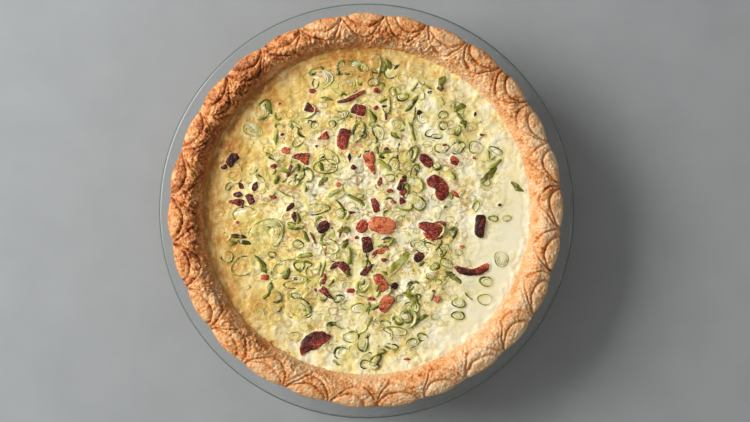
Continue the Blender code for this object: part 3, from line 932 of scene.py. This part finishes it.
# small bits: across, up, length, width in mm, turn, shade
baconScraps = [
    (-0.5, -36, 11, 4, 40, 0.4), (-19, -32.5, 8, 3.5, 38, 0.3), (8, -24.4, 6, 4, 20, 0.8),
    (4.6, -26.2, 5, 3.4, 50, 0.7), (11.4, -22.8, 4.4, 3, 0, 0.85), (-25.5, -41, 8, 3, 80, 0.6),
    (-85.5, 26.5, 4.6, 4, 0, 0.03), (-49, 36.5, 6, 4, 0, 0.95), (-75.9, 15.5, 5.5, 3, 110, 0.2),
    (-67.5, 14.9, 6, 3, 70, 0.3), (-77.5, 10, 5.5, 4.5, 0, 0.15), (-56, 8.5, 6, 3, -15, 0.55),
    (-10, 32.6, 8, 2.5, 88, 0.05), (-7.5, 26.2, 4.5, 4.2, 0, 0.1), (-17, 16, 3.5, 3, 0, 0.95),
    (-27, 16, 4, 1.6, 0, 0.9), (-56, 27, 4, 3.4, 0, 0.6), (-43, -3.5, 6, 4.5, 100, 0.1),
    (-46, 2.3, 6, 3, 45, 0.2), (-32.6, 72.6, 4.5, 3.5, 0, 0.6), (5.7, 62.6, 3.5, 3.2, 0, 0.65),
    (6.5, 72.6, 5, 4, 0, 0.6), (10.4, 63, 4, 2.5, 0, 0.3), (11.4, 58.5, 7, 2, 90, 0.3),
    (44.6, 73.8, 5, 4.5, 0, 0.5), (53, 30, 6, 4.5, -60, 0.75), (53.5, 10.5, 8, 2.5, -45, 0.85),
    (21.4, 5.9, 5, 4.8, 0, 0.35), (8, 17.5, 5.5, 3, 75, 0.5), (16, 5, 4, 3, 0, 0.9),
    (12, 37, 4.6, 4, 0, 0.5), (47, 39.7, 3, 2, 0, 0.5), (65.5, 58.5, 4, 1.8, 80, 0.02),
    (69.7, 46, 3, 1.4, 0, 0.5), (65, 32, 2.2, 2, 0, 0.5), (43, 30, 2.4, 2, 0, 0.5),
    (-15.5, -12, 9, 2.5, 80, 0.5), (-12, -17.7, 2.2, 2, 0, 0.4), (-32.3, -16, 8, 1.6, -65, 0.5),
    (-24.6, -23.7, 9, 1.8, 80, 0.7), (-30.7, -47.6, 2.2, 2, 0, 0.4), (-9.4, -48, 5.5, 3.5, 0, 0.6),
    (-61.4, -40.2, 6, 5, 40, 0.75), (-35, -26.5, 2.2, 2, 0, 0.3), (-9, -1, 5, 2.4, 0, 0.4),
    (16.8, -45, 5.5, 4.5, 0, 0.08), (10.4, -29.5, 4, 3, 0, 0.6), (3.3, -52.8, 6, 3, 0, 0.6),
    (37.2, -16, 9, 3, -50, 0.85), (57.5, -21.8, 3, 2.6, 0, 0.8), (40.4, -48.3, 2.2, 2, 0, 0.4),
    (42.3, -52.8, 5, 4, 0, 0.95), (24.3, -89, 5, 2, 0, 0.6), (52.3, -38.3, 3, 1.6, 0, 0.2),
    (31.7, 59.7, 3.5, 3, 0, 0.05), (-52.6, 64.6, 2, 1.8, 0, 0.2), (-50.7, 46, 2, 1.8, 0, 0.2),
    (-30, 39, 2.2, 1.8, 0, 0.4), (80.4, 3.6, 2, 1.6, 0, 0.3), (-20.7, -10, 2, 1.6, 0, 0.3),
    (-78, -7, 2.4, 2, 0, 0.5), (22, 12, 6, 4, 60, 0.4), (14, 12, 4, 2.6, 20, 0.7),
    (-6, -16, 3, 2.4, 0, 0.5), (12, -18, 5, 2.4, 30, 0.8),
]


def crispedBacon(finish):
    tree, size = newTree("crispedBacon", baconSizes)
    smooth = fromNode(tree, "GeometryNodeSubdivisionSurface", 0,
                      {0: size["Geometry"], "Level": size["Level"]})
    upward = parts(fromNode(tree, "GeometryNodeInputNormal"))[2]
    smooth = keepValue(smooth, "edge", ramp(upward, 0.97, 0.7))
    spot = fromNode(tree, "GeometryNodeInputPosition")

    def shake(width, detail):
        node = addNode(tree, "ShaderNodeTexNoise", {"Vector": spot, "Scale": 1000.0 / width,
                                                    "Detail": detail})
        half = (0.5, 0.5, 0.5)
        return vectorSum(Wire(tree, node.outputs["Color"]), "SUBTRACT", half)

    rough = vectorSum(shake(4.2, 2.0), "SCALE", size["Ragged"] * 4.0 * mm)
    fine = vectorSum(shake(1.3, 2.0), "SCALE", size["Fine"] * 3.0 * mm)
    wave = (noise(spot, 6.5, 1.0) - 0.5) * 2.0 * size["Wavy"] * mm
    push = vectorSum(vectorSum(rough, "ADD", fine), "ADD", joinParts(tree, 0.0, 0.0, wave))
    shape = fromNode(tree, "GeometryNodeSetPosition", "Geometry", {"Geometry": smooth, "Offset": push})
    finishTree(shape, finish)
    return tree


def baconFinish():
    finish, tree, shader, place = newFinish("bacon", Subsurface_Weight=0.05, Specular_IOR_Level=0.4)
    edge, shade = attribute(tree, "edge"), attribute(tree, "shade")
    streak = noise(stretch(place, (0.45, 1.6, 1.0), 0.6), 3.0, 3.0, 0.6, 0.5)
    spot, fine = noise(place, 2.4, 3.0, 0.6), noise(place, 0.8, 2.0)
    some = noise(place, 5.0, 1.0)
    tone = shade + (streak - 0.5) * 0.9 + (some - 0.5) * 0.7 - edge * ramp(some, 0.4, 0.6, 0.5, 0.1)
    tone = tone + (spot - 0.5) * 0.9 + (fine - 0.5) * 0.9
    colour = shades(tone, (0.02, baconLook["black"]), (1.0, baconLook["orange"]),
                    (0.3, baconLook["maroon"]), (0.55, baconLook["red"]), (0.78, baconLook["rust"]))
    fatty = ramp(streak, 0.56, 0.68) * ramp(shade, 0.25, 0.8)
    # painted highlights: pale glints painted into the colour, together with the real streaks of fat
    glints = ramp(fine, 0.58, 0.7) * ramp(shade, 0.0, 0.6, 0.3, 1.0)
    colour = mix((fatty * 0.45).sum("MAXIMUM", glints * 0.5), colour, baconLook["fat"])
    feed(tree, shader.inputs["Base Color"], colour)
    feed(tree, shader.inputs["Roughness"], ramp(spot, 0.3, 0.7, 0.25, 0.5))
    addBump(tree, shader, spot * 0.5 + fine * 0.5, 1.0, 0.7)
    return finish


def baconChunk(x, y, length, width, turn, corners, bow=0.0):
    # a cut with a flat top: outline points, how high each is over the custard, and faces
    corners = np.array(corners, float)
    halfway = (corners + np.roll(corners, -1, 0)) / 2
    outline = np.stack([corners, halfway], 1).reshape(-1, 2)
    count = len(outline)
    flat, lift = [], []
    for shrink, height in ((0.6, -0.1), (0.94, 0.0), (1.0, 0.5), (0.9, 1.0), (0.5, 1.05)):
        along, across = (outline * shrink).T
        across = across * 0.5 * width + bow * (along * along - 0.5)
        flat.append(np.column_stack(laid(x, y, turn, along * 0.5 * length, across)))
        lift.append(np.full(count, height))
    middle = np.column_stack(laid(x, y, turn, np.zeros(2), np.full(2, -0.5 * bow)))
    faces = gridFaces(5, count)
    for i in range(count):
        j = (i + 1) % count
        faces.append([j, i, 5 * count])
        faces.append([4 * count + i, 4 * count + j, 5 * count + 1])
    return np.concatenate([*flat, middle]), np.concatenate([*lift, [-0.1, 1.1]]), faces


def scrapCorners(rng):
    # a small bit has four to six uneven corners
    steps = int(rng.integers(4, 7))
    phase = tau * (np.arange(steps) + rng.uniform(-0.25, 0.25, steps)) / steps
    reach = rng.uniform(0.85, 1.35, steps)
    return np.column_stack([reach * np.cos(phase), reach * np.sin(phase)])


def layBacon(heap, surface, flat, lift, faces, shade, right=0.0, upward=0.0):
    middle = (flat.max(0) + flat.min(0)) / 2
    half = np.ptp(flat, axis=0) / 2
    away = (flat - middle) / half
    flat = middle + (flat - middle) * baconLook["spread"]
    ground = np.array([surface.height(x, y) for x, y in flat])
    thick = baconLook["thick"] * min(1.0, 0.5 + half.min() / 8.0)
    height = 0.6 * ground + 0.4 * ground.mean() + lift * thick - baconLook["sink"]
    shade = shade + away[:, 0] * right + away[:, 1] * upward
    heap.add(np.column_stack([flat, height]), faces, shade=shade)


def makeBacon(surface, rng):
    finish = baconFinish()
    names = numbered("bacon_")
    heap = Heap("shade")
    for name, (form, turn, bow, *shade) in zip(names, baconCuts):
        x, y, length, width, _ = nodePlace(name)
        cut = baconChunk(x, y, length, width - 0.6 * abs(bow), turn, baconForms[form], bow)
        layBacon(heap, surface, *cut, *shade)
    bacon = runTree(heap.build("baconPieces", finish), crispedBacon(finish), baconSizes)
    heap = Heap("shade")
    for *where, shade in baconScraps:
        layBacon(heap, surface, *baconChunk(*where, scrapCorners(rng)), shade)
    scraps = heap.build("baconScraps", finish)
    runTree(scraps, crispedBacon(finish), {**baconSizes, "Level": 1})
    return settle(bacon, "bacon", *names), settle(scraps, "bacon")



scallionLook = {
    "dark": paint(58, 58, 8),
    "deep": paint(102, 102, 20),
    "bright": paint(162, 160, 58),
    "pale": paint(224, 216, 146),
    "white": paint(252, 246, 220),
}
# each layer of a slice: size, wall and lift in mm, tone outside, tone inside
sliceStyles = {
    "outline": [(1.0, 1.3, 0.5, 0.08, 0.45), (0.55, 0.7, 0.3, 0.4, 0.7)],
    "nested": [(1.0, 0.9, 0.5, 0.34, 0.5), (0.76, 0.8, 0.4, 0.42, 0.7),
               (0.54, 0.7, 0.4, 0.45, 0.8), (0.32, 0.5, 0.4, 0.5, 1.0)],
    "white": [(1.0, 1.1, 0.5, 0.22, 0.5), (0.62, 0.8, 0.5, 0.6, 1.0), (0.3, 0.5, 0.5, 0.8, 1.0)],
    "thick": [(1.0, 1.7, 0.5, 0.02, 0.36), (0.5, 0.5, 0.4, 0.5, 0.7)],
    "light": [(1.0, 1.7, 0.5, 0.34, 0.52), (0.5, 0.6, 0.4, 0.5, 0.8)],
    "thin": [(1.0, 1.0, 0.45, 0.18, 0.42)],
    "small": [(1.0, 1.5, 0.5, 0.26, 0.46)],
}
nodeStyles = ["nested", "nested", "thin", "outline", "outline", "nested", "outline", "outline",
              "outline", "white", "thick", "outline", "nested", "light", "thin", "white"]
# further slices that lie in the custard: across, up, length, width in mm, turn, style
placedSlices = [
    (-62.6, 61, 12, 8.5, 70, "light"), (-24.6, 26.8, 14, 8, 0, "thin"),
    (-73.6, -1.8, 14, 9, -10, "outline"), (-43.3, -41, 13, 6, -6, "white"),
    (32, -21.2, 10, 7, -30, "white"), (46.5, -23.7, 9, 4.5, 62, "light"),
    (14.6, 84.3, 9, 8, 0, "outline"), (7, 87, 9, 8, 0, "outline"), (-75, -33.4, 14, 10, 20, "thin"),
    (7, 47.5, 9, 7, -60, "thick"), (-47.8, -33.4, 15, 8, 10, "thin"), (65.5, 38.5, 9, 7, 0, "light"),
    (28.8, 23.6, 9, 5, 70, "outline"), (-29.7, 79, 16, 12, 0, "nested"), (-15.2, 57.8, 8, 5, 30, "white"),
    (-20.6, 52.6, 5, 4, 0, "white"), (-31.4, 52, 5, 4.6, 0, "outline"), (-41.4, 41.4, 7, 5, 30, "thin"),
    (-43, 52, 8, 3, -35, "thick"), (-64, 19.7, 7, 3, -45, "outline"), (-15.5, -1, 7, 5, 0, "white"),
    (-2, 46, 4.5, 4, 0, "thin"), (-8, 87, 10, 8, 0, "nested"), (4, 77.5, 6, 5.4, 0, "white"),
    (21.4, 68.8, 8, 5, 0, "light"), (33.3, 56.5, 8, 6, -50, "white"), (46, 58, 5.5, 5, 0, "outline"),
    (46, 51.4, 6.5, 5, 0, "thick"), (42.3, 45, 6, 3.5, 0, "white"), (55.5, 61.7, 6, 3.4, 0, "thin"),
    (38, 47, 6, 4, 40, "thin"), (78, 36.5, 8, 4, -25, "thin"), (71.7, 17.8, 6, 5, 0, "outline"),
    (66, 3, 7, 4, 70, "light"), (25.5, 33.3, 8, 4, 65, "outline"), (14, 20, 6, 5, 0, "outline"),
    (45, 38, 8, 6, 0, "outline"), (-52.6, -31, 5, 3.5, 0, "light"), (-57, -26.3, 5, 4, 0, "outline"),
    (-41.4, -19.9, 7, 5.4, 0, "light"), (-45.2, -8, 5, 3, 0, "outline"), (-33, -36.6, 8, 6, 0, "thin"),
    (-43, -51, 5, 4, 0, "white"), (-5.2, -58.6, 8, 6, 0, "white"), (-9.4, -76, 9, 7, 0, "outline"),
    (-15, -85.7, 9, 8, 0, "light"), (-0.7, -92.5, 7, 5, 0, "outline"), (39, -39.2, 7, 4, 0, "white"),
    (43, -42.5, 5, 3.5, 0, "light"), (48, -31.5, 8, 5, -35, "white"), (72, -42.5, 8, 6, 0, "light"),
    (29.4, -52.5, 7, 5, 20, "thick"), (26.2, -58.6, 8, 7, 0, "white"), (33.6, -76, 6, 5, 0, "outline"),
    (9, -84.7, 5, 3.4, 0, "outline"), (55.5, -55.4, 8, 6, 0, "light"), (55.2, -63, 8, 5, 0, "outline"),
    (71.3, -53.4, 9, 6, 0, "thin"), (84.3, -4.4, 6, 4, 0, "light"), (76.5, -4.4, 6, 4, 0, "thick"),
    (55.2, -25, 4.5, 4, 0, "white"), (41, -33.4, 6, 5, 0, "light"), (52, -13.4, 5, 4.6, 0, "white"),
    (4.6, -93.4, 6, 5, 0, "thick"), (-83, 15, 6, 4, 40, "thick"), (-16.8, -52.8, 7, 4.5, 20, "thick"),
]
# narrow leaves and stalks: across, up, length, width in mm, turn
placedLeaves = [
    (91, 14.6, 10, 5, -45), (43.6, -20.5, 8, 3, 55), (17.8, 71.4, 6, 3, -75), (10, 66.8, 6, 3, 20),
    (28.8, 58.5, 10, 1.3, 80), (29, 75, 8, 2, 50), (-50, 11, 12, 1.4, -30), (-18, -91.5, 6, 2.5, -40),
    (-18, -69, 10, 1.5, -30), (1.2, -58.5, 9, 2, 88), (13.6, -17.6, 8, 2.5, 12), (26.2, -47.3, 7, 2, 30),
    (61.7, -51.5, 8, 1.5, -45), (-21.4, -43, 6, 3, 40), (-60.4, -51, 6, 3.4, 30), (33.3, -31.5, 5, 3.4, 20),
    (76, 32, 4, 2, 30), (-2, -43, 4.5, 2.4, 60),
]


def addSlice(heap, ground, x, y, length, width, turn, style, rng, steps=20):
    # nested uneven rings, each with a rounded crest, over a thin skin of flesh
    tint, side = rng.uniform(0, 1), rng.uniform(0, tau)
    wave = rng.uniform(0, tau, 3)
    phase = tau * np.arange(steps) / steps
    uneven = 1 + 0.07 * np.sin(2 * phase + wave[0]) + 0.05 * np.sin(3 * phase + wave[1])
    tilt = rng.uniform(-0.06, 0.06, 2)
    middle = ground(x, y)

    def ring(along, across, height):
        px, py = laid(x, y, turn, along, across)
        level = np.array([ground(a, b) for a, b in zip(px, py)])
        level = 0.6 * level + 0.4 * middle + tilt[0] * along + tilt[1] * across
        return np.column_stack([px, py, level + height])

    for size, wall, lift, outside, inside in sliceStyles[style]:
        drift = rng.uniform(-0.12, 0.12, 2) * (1 - size)
        section = [(0.0, -1.0, outside), (0.15, 0.7 * lift, outside), (0.5, lift, outside),
                   (1.0, 0.2 * lift, inside), (0.9, -1.0, inside)]
        points, tones = [], []
        for inwards, height, tone in section:
            along = (0.5 * length * size * uneven - inwards * wall) * np.cos(phase)
            across = (0.5 * width * size * uneven - inwards * wall) * np.sin(phase)
            points.append(ring(along + drift[0] * length, across + drift[1] * width, height))
            tones.append(tone + 0.22 * np.cos(phase + side) + 0.1 * np.cos(2 * phase + wave[2]))
        count = len(section)
        last = (count - 1) * steps
        faces = gridFaces(count, steps)
        for i in range(steps):
            j = (i + 1) % steps
            faces.append([last + i, last + j, j, i])
        heap.add(np.concatenate(points), faces, tone=np.concatenate(tones), tint=tint, egg=0.6)
    if style == "thin":
        return
    points, tones = [], []
    for share, height, tone in ((0.9, -0.8, 0.7), (0.9, 0.0, 0.72)):
        points.append(ring(0.5 * length * share * uneven * np.cos(phase),
                           0.5 * width * share * uneven * np.sin(phase), height))
        tones.append(np.full(steps, tone))
    points += [[(x, y, middle + 0.15)], [(x, y, middle - 0.8)]]
    faces = gridFaces(2, steps)
    for i in range(steps):
        j = (i + 1) % steps
        faces.append([steps + i, steps + j, 2 * steps])
        faces.append([j, i, 2 * steps + 1])
    tones = np.concatenate(tones + [[0.88, 0.88]])
    heap.add(np.concatenate(points), faces, tone=tones, tint=tint, egg=0.6)


def addLeaf(heap, ground, x, y, length, width, turn, bend, rng, tone=0.12, edge=0.48, steps=(14, 7)):
    # a thin strip, curled across its width and bowed along its length
    long, wide = steps
    tint = rng.uniform(0, 1)
    wave = rng.uniform(0, tau, 2)
    points, tones, places = [], [], []
    for layer in (0.0, -0.45):
        for i in range(long):
            s = 2 * i / (long - 1) - 1
            taper = (1 - abs(s) ** 5 * 0.6) * (1 + 0.12 * sin(4 * s + wave[0]))
            for j in range(wide):
                t = 2 * j / (wide - 1) - 1
                along = 0.5 * length * s + 0.25 * width * t
                across = 0.5 * width * taper * t + bend * (s * s - 0.5)
                px, py = laid(x, y, turn, along, across)
                lift = 0.8 - 0.8 * t * t - 0.8 * s ** 4 + 0.3 * sin(5 * s + wave[1]) * t + layer
                points.append((px, py, ground(px, py) + lift))
                tones.append(tone + (edge - tone) * (0.3 + 0.7 * t * abs(t)))
                places.append((along, 0.5 * width * t))
    half = long * wide
    faces = []
    for i in range(long - 1):
        for j in range(wide - 1):
            a = i * wide + j
            faces.append([a, a + wide, a + wide + 1, a + 1])
            faces.append([half + a, half + a + 1, half + a + wide + 1, half + a + wide])
    rim = [*range(wide), *(i * wide + wide - 1 for i in range(1, long)),
           *range(long * wide - 2, (long - 1) * wide - 1, -1),
           *(i * wide for i in range(long - 2, 0, -1))]
    for a, b in zip(rim, rim[1:] + rim[:1]):
        faces.append([a, b, half + b, half + a])
    along, across = np.array(places).T
    heap.add(points, faces, tone=tones, tint=tint, egg=0.25, along=along, across=across)


def scallionFinish():
    finish, tree, shader, place = newFinish("scallion", Subsurface_Weight=0.1, Specular_IOR_Level=0.35)
    tone, tint = attribute(tree, "tone"), attribute(tree, "tint")
    fine, soft = noise(place, 0.8, 2.0), noise(place, 3.2, 3.0, 0.6)
    veins = joinParts(tree, attribute(tree, "along") * 0.00025, attribute(tree, "across") * mm, tint)
    level = tone + (soft - 0.5) * 0.5 + (tint - 0.4) * 0.3 + (noise(veins, 1.0, 2.0) - 0.5) * 0.6
    colour = mix(ramp(level, 0.0, 0.18), scallionLook["dark"], scallionLook["deep"])
    colour = mix(ramp(level, 0.2, 0.42), colour, scallionLook["bright"])
    colour = mix(ramp(level, 0.45, 0.65), colour, scallionLook["pale"])
    colour = mix(ramp(level, 0.68, 0.92), colour, scallionLook["white"])
    film = ramp(noise(place, 4.0, 3.0, 0.65), 0.5, 0.62) * attribute(tree, "egg")
    colour = mix(film, colour, custardLook["cream"])
    feed(tree, shader.inputs["Base Color"], colour)
    feed(tree, shader.inputs["Roughness"], ramp(soft, 0.3, 0.7, 0.25, 0.5))
    addBump(tree, shader, fine, 0.5, 0.25)
    return finish


def makeScallionRings(surface, finish, rng):
    heap = Heap("tone", "tint", "egg", "along", "across")
    names = numbered("scallion_ring_")
    for name, style in zip(names, nodeStyles):
        x, y, length, width, turn = nodePlace(name)
        addSlice(heap, surface.height, x, y, length, width, turn, style, rng, 28)
    for x, y, length, width, turn, style in placedSlices:
        addSlice(heap, surface.height, x, y, 1.15 * length, 1.15 * width, turn, style, rng, 20)
    return settle(heap.build("scallionRings", finish), "scallion", *names)


def makeScallionLeaves(surface, finish, rng):
    heap = Heap("tone", "tint", "egg", "along", "across")
    names = numbered("scallion_leaf_")
    for name in names:
        x, y, length, width, turn = nodePlace(name)
        addLeaf(heap, surface.height, x, y, length, 0.75 * width, turn, 0.8, rng)
    for x, y, length, width, turn in placedLeaves:
        addLeaf(heap, surface.height, x, y, length, 0.8 * width, turn, 0.6, rng)
    return settle(heap.build("scallionLeaves", finish), "scallion", *names)


scatterSizes = {"Distance": 0.0048, "Density": 40000.0, "Smallest": 0.8, "Largest": 1.8,
                "Deepest": 0.8, "Seed": 3}


def sliceKinds(finish, rng):
    # a few small slices, each with a few dozen faces, for scattering
    kinds = bpy.data.collections.new("sliceKinds")
    shapes = [(7.0, 5.6, "small"), (8.4, 5.0, "small"), (6.4, 5.6, "light"), (9.6, 4.8, "thin"),
              (6.6, 5.4, "light"), (7.6, 4.0, "small"), (5.0, 3.6, "small"), (8.2, 6.6, "thin"),
              (7.0, 2.4, "thick"), (6.0, 2.4, "light")]
    for i, (length, width, style) in enumerate(shapes):
        heap = Heap("tone", "tint", "egg", "along", "across")
        addSlice(heap, lambda x, y: 0.0 * x, 0, 0, length, width, 0, style, rng, 12)
        shape = heap.build(f"sliceKind{i}", finish)
        bpy.context.scene.collection.objects.unlink(shape)
        kinds.objects.link(shape)
    for i, (length, width, tone) in enumerate([(5.4, 2.4, 0.05), (6.6, 1.9, 0.2), (4.4, 2.8, 0.1)]):
        heap = Heap("tone", "tint", "egg", "along", "across")
        addLeaf(heap, lambda x, y: 0.3, 0, 0, length, width, 0, 0.5, rng, tone, 0.4, (7, 4))
        shape = heap.build(f"leafKind{i}", finish)
        bpy.context.scene.collection.objects.unlink(shape)
        kinds.objects.link(shape)
    return kinds


def scatteredSlices(finish, kinds):
    tree, size = newTree("scatteredSlices", {**scatterSizes, "Kinds": kinds})
    spot = fromNode(tree, "GeometryNodeInputPosition")
    x, y, z = parts(spot)
    out = (x * x + y * y).sum("SQRT")
    shown = attribute(tree, "shown")
    right = ramp(x * 0.94 - y * 0.34, 0.048, 0.078, 1.0, 0.08)
    low = ramp(y * -0.8 - x * 0.6, 0.055, 0.085, 1.0, 0.25)
    thick = ramp(noise(spot, 24.0, 1.0), 0.38, 0.58, 0.1, 1.0)
    share = ramp(out, 0.095, 0.09) * right * low * thick * shown.sum("GREATER_THAN", 0.99)
    normal = fromNode(tree, "GeometryNodeInputNormal")
    flat = parts(normal)[2].sum("GREATER_THAN", 0.4)
    spread = addNode(tree, "GeometryNodeDistributePointsOnFaces",
                     {"Mesh": size["Geometry"], "Distance Min": size["Distance"],
                      "Density Max": size["Density"], "Density Factor": share * flat,
                      "Seed": size["Seed"]}, distribute_method="POISSON")
    group = fromNode(tree, "GeometryNodeCollectionInfo", 0,
                     {"Collection": size["Kinds"], "Separate Children": True, "Reset Children": True})
    turn = fromNode(tree, "FunctionNodeRandomValue", "Value",
                    {"Min": (-0.16, -0.16, 0.0), "Max": (0.16, 0.16, tau), "Seed": 5},
                    data_type="FLOAT_VECTOR")
    scale = fromNode(tree, "FunctionNodeRandomValue", "Value",
                     {"Min": size["Smallest"], "Max": size["Largest"], "Seed": 6}, data_type="FLOAT")
    sink = fromNode(tree, "FunctionNodeRandomValue", "Value",
                    {"Min": size["Deepest"] * -mm, "Max": 0.0, "Seed": 7}, data_type="FLOAT")
    points = fromNode(tree, "GeometryNodeSetPosition", "Geometry",
                      {"Geometry": Wire(tree, spread.outputs["Points"]),
                       "Offset": joinParts(tree, 0.0, 0.0, sink)})
    placed = fromNode(tree, "GeometryNodeInstanceOnPoints", "Instances",
                      {"Points": points, "Instance": group,
                       "Pick Instance": True, "Rotation": turn, "Scale": scale})
    tint = fromNode(tree, "FunctionNodeRandomValue", "Value", {"Min": 0.0, "Max": 1.0, "Seed": 8},
                    data_type="FLOAT")
    placed = keepValue(placed, "tint", tint, "INSTANCE")
    finishTree(placed, finish)
    return tree


def makeScatteredSlices(custard, finish, rng):
    kinds = sliceKinds(finish, rng)
    slices = bpy.data.objects.new("scallionSlices", custard.data.copy())
    bpy.context.scene.collection.objects.link(slices)
    runTree(slices, scatteredSlices(finish, kinds), {**scatterSizes, "Kinds": kinds})
    for shape in list(kinds.objects):
        bpy.data.objects.remove(shape)
    bpy.data.collections.remove(kinds)
    return settle(slices, "scallion")



def makeRoom():
    scene = bpy.context.scene
    scene.view_settings.view_transform = "Standard"
    floorMesh = bpy.data.meshes.new("floor")
    side = 3.0
    floorMesh.from_pydata([(-side, -side, 0), (side, -side, 0), (side, side, 0), (-side, side, 0)],
                          [], [(0, 1, 2, 3)])
    floor = bpy.data.objects.new("floor", floorMesh)
    floor.location.z = -0.0002
    scene.collection.objects.link(floor)
    finish, tree, shader, place = newFinish("floorPaint", Roughness=0.8)
    shade = noise(place, 40.0, 4.0, 0.6)
    feed(tree, shader.inputs["Base Color"], mix(shade, paint(146, 150, 153), paint(162, 166, 169)))
    floorMesh.materials.append(finish)
    world = bpy.data.worlds.new("room")
    world.use_nodes = True
    world.node_tree.nodes["Background"].inputs[0].default_value = (1.0, 0.97, 0.93, 1.0)
    world.node_tree.nodes["Background"].inputs[1].default_value = 0.3
    scene.world = world
    key = bpy.data.lights.new("key", "AREA")
    key.shape = "RECTANGLE"
    key.size = 1.0
    key.size_y = 0.62
    key.energy = 28.5
    key.color = (1.0, 0.985, 0.96)
    lamp = bpy.data.objects.new("key", key)
    lamp.location = (-1.15, 0.42, 0.78)
    lamp.rotation_euler = (Vector((0.0, 0.0, 0.04)) - lamp.location).to_track_quat("-Z", "Y").to_euler()
    scene.collection.objects.link(lamp)
    lens = bpy.data.cameras.new("camera")
    lens.lens = 85.0
    lens.sensor_width = 36.0
    camera = bpy.data.objects.new("camera", lens)
    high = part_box("pastry_crust")[1].z
    camera.location = (0.0051, 0.0, high + 0.4485 * 85.0 / 36.0)
    scene.collection.objects.link(camera)
    scene.camera = camera


makeRoom()
makeGlassDish()
makeCrust()
custard, custardPaint = makeCustard()
surface = Surface(custard)
luck = np.random.default_rng(11)
meats = makeBacon(surface, luck)
greenFinish = scallionFinish()
greens = [
    makeScallionRings(surface, greenFinish, luck),
    makeScallionLeaves(surface, greenFinish, luck),
    makeScatteredSlices(custard, greenFinish, luck),
]
settleCustard(custard, custardPaint, greens, meats)
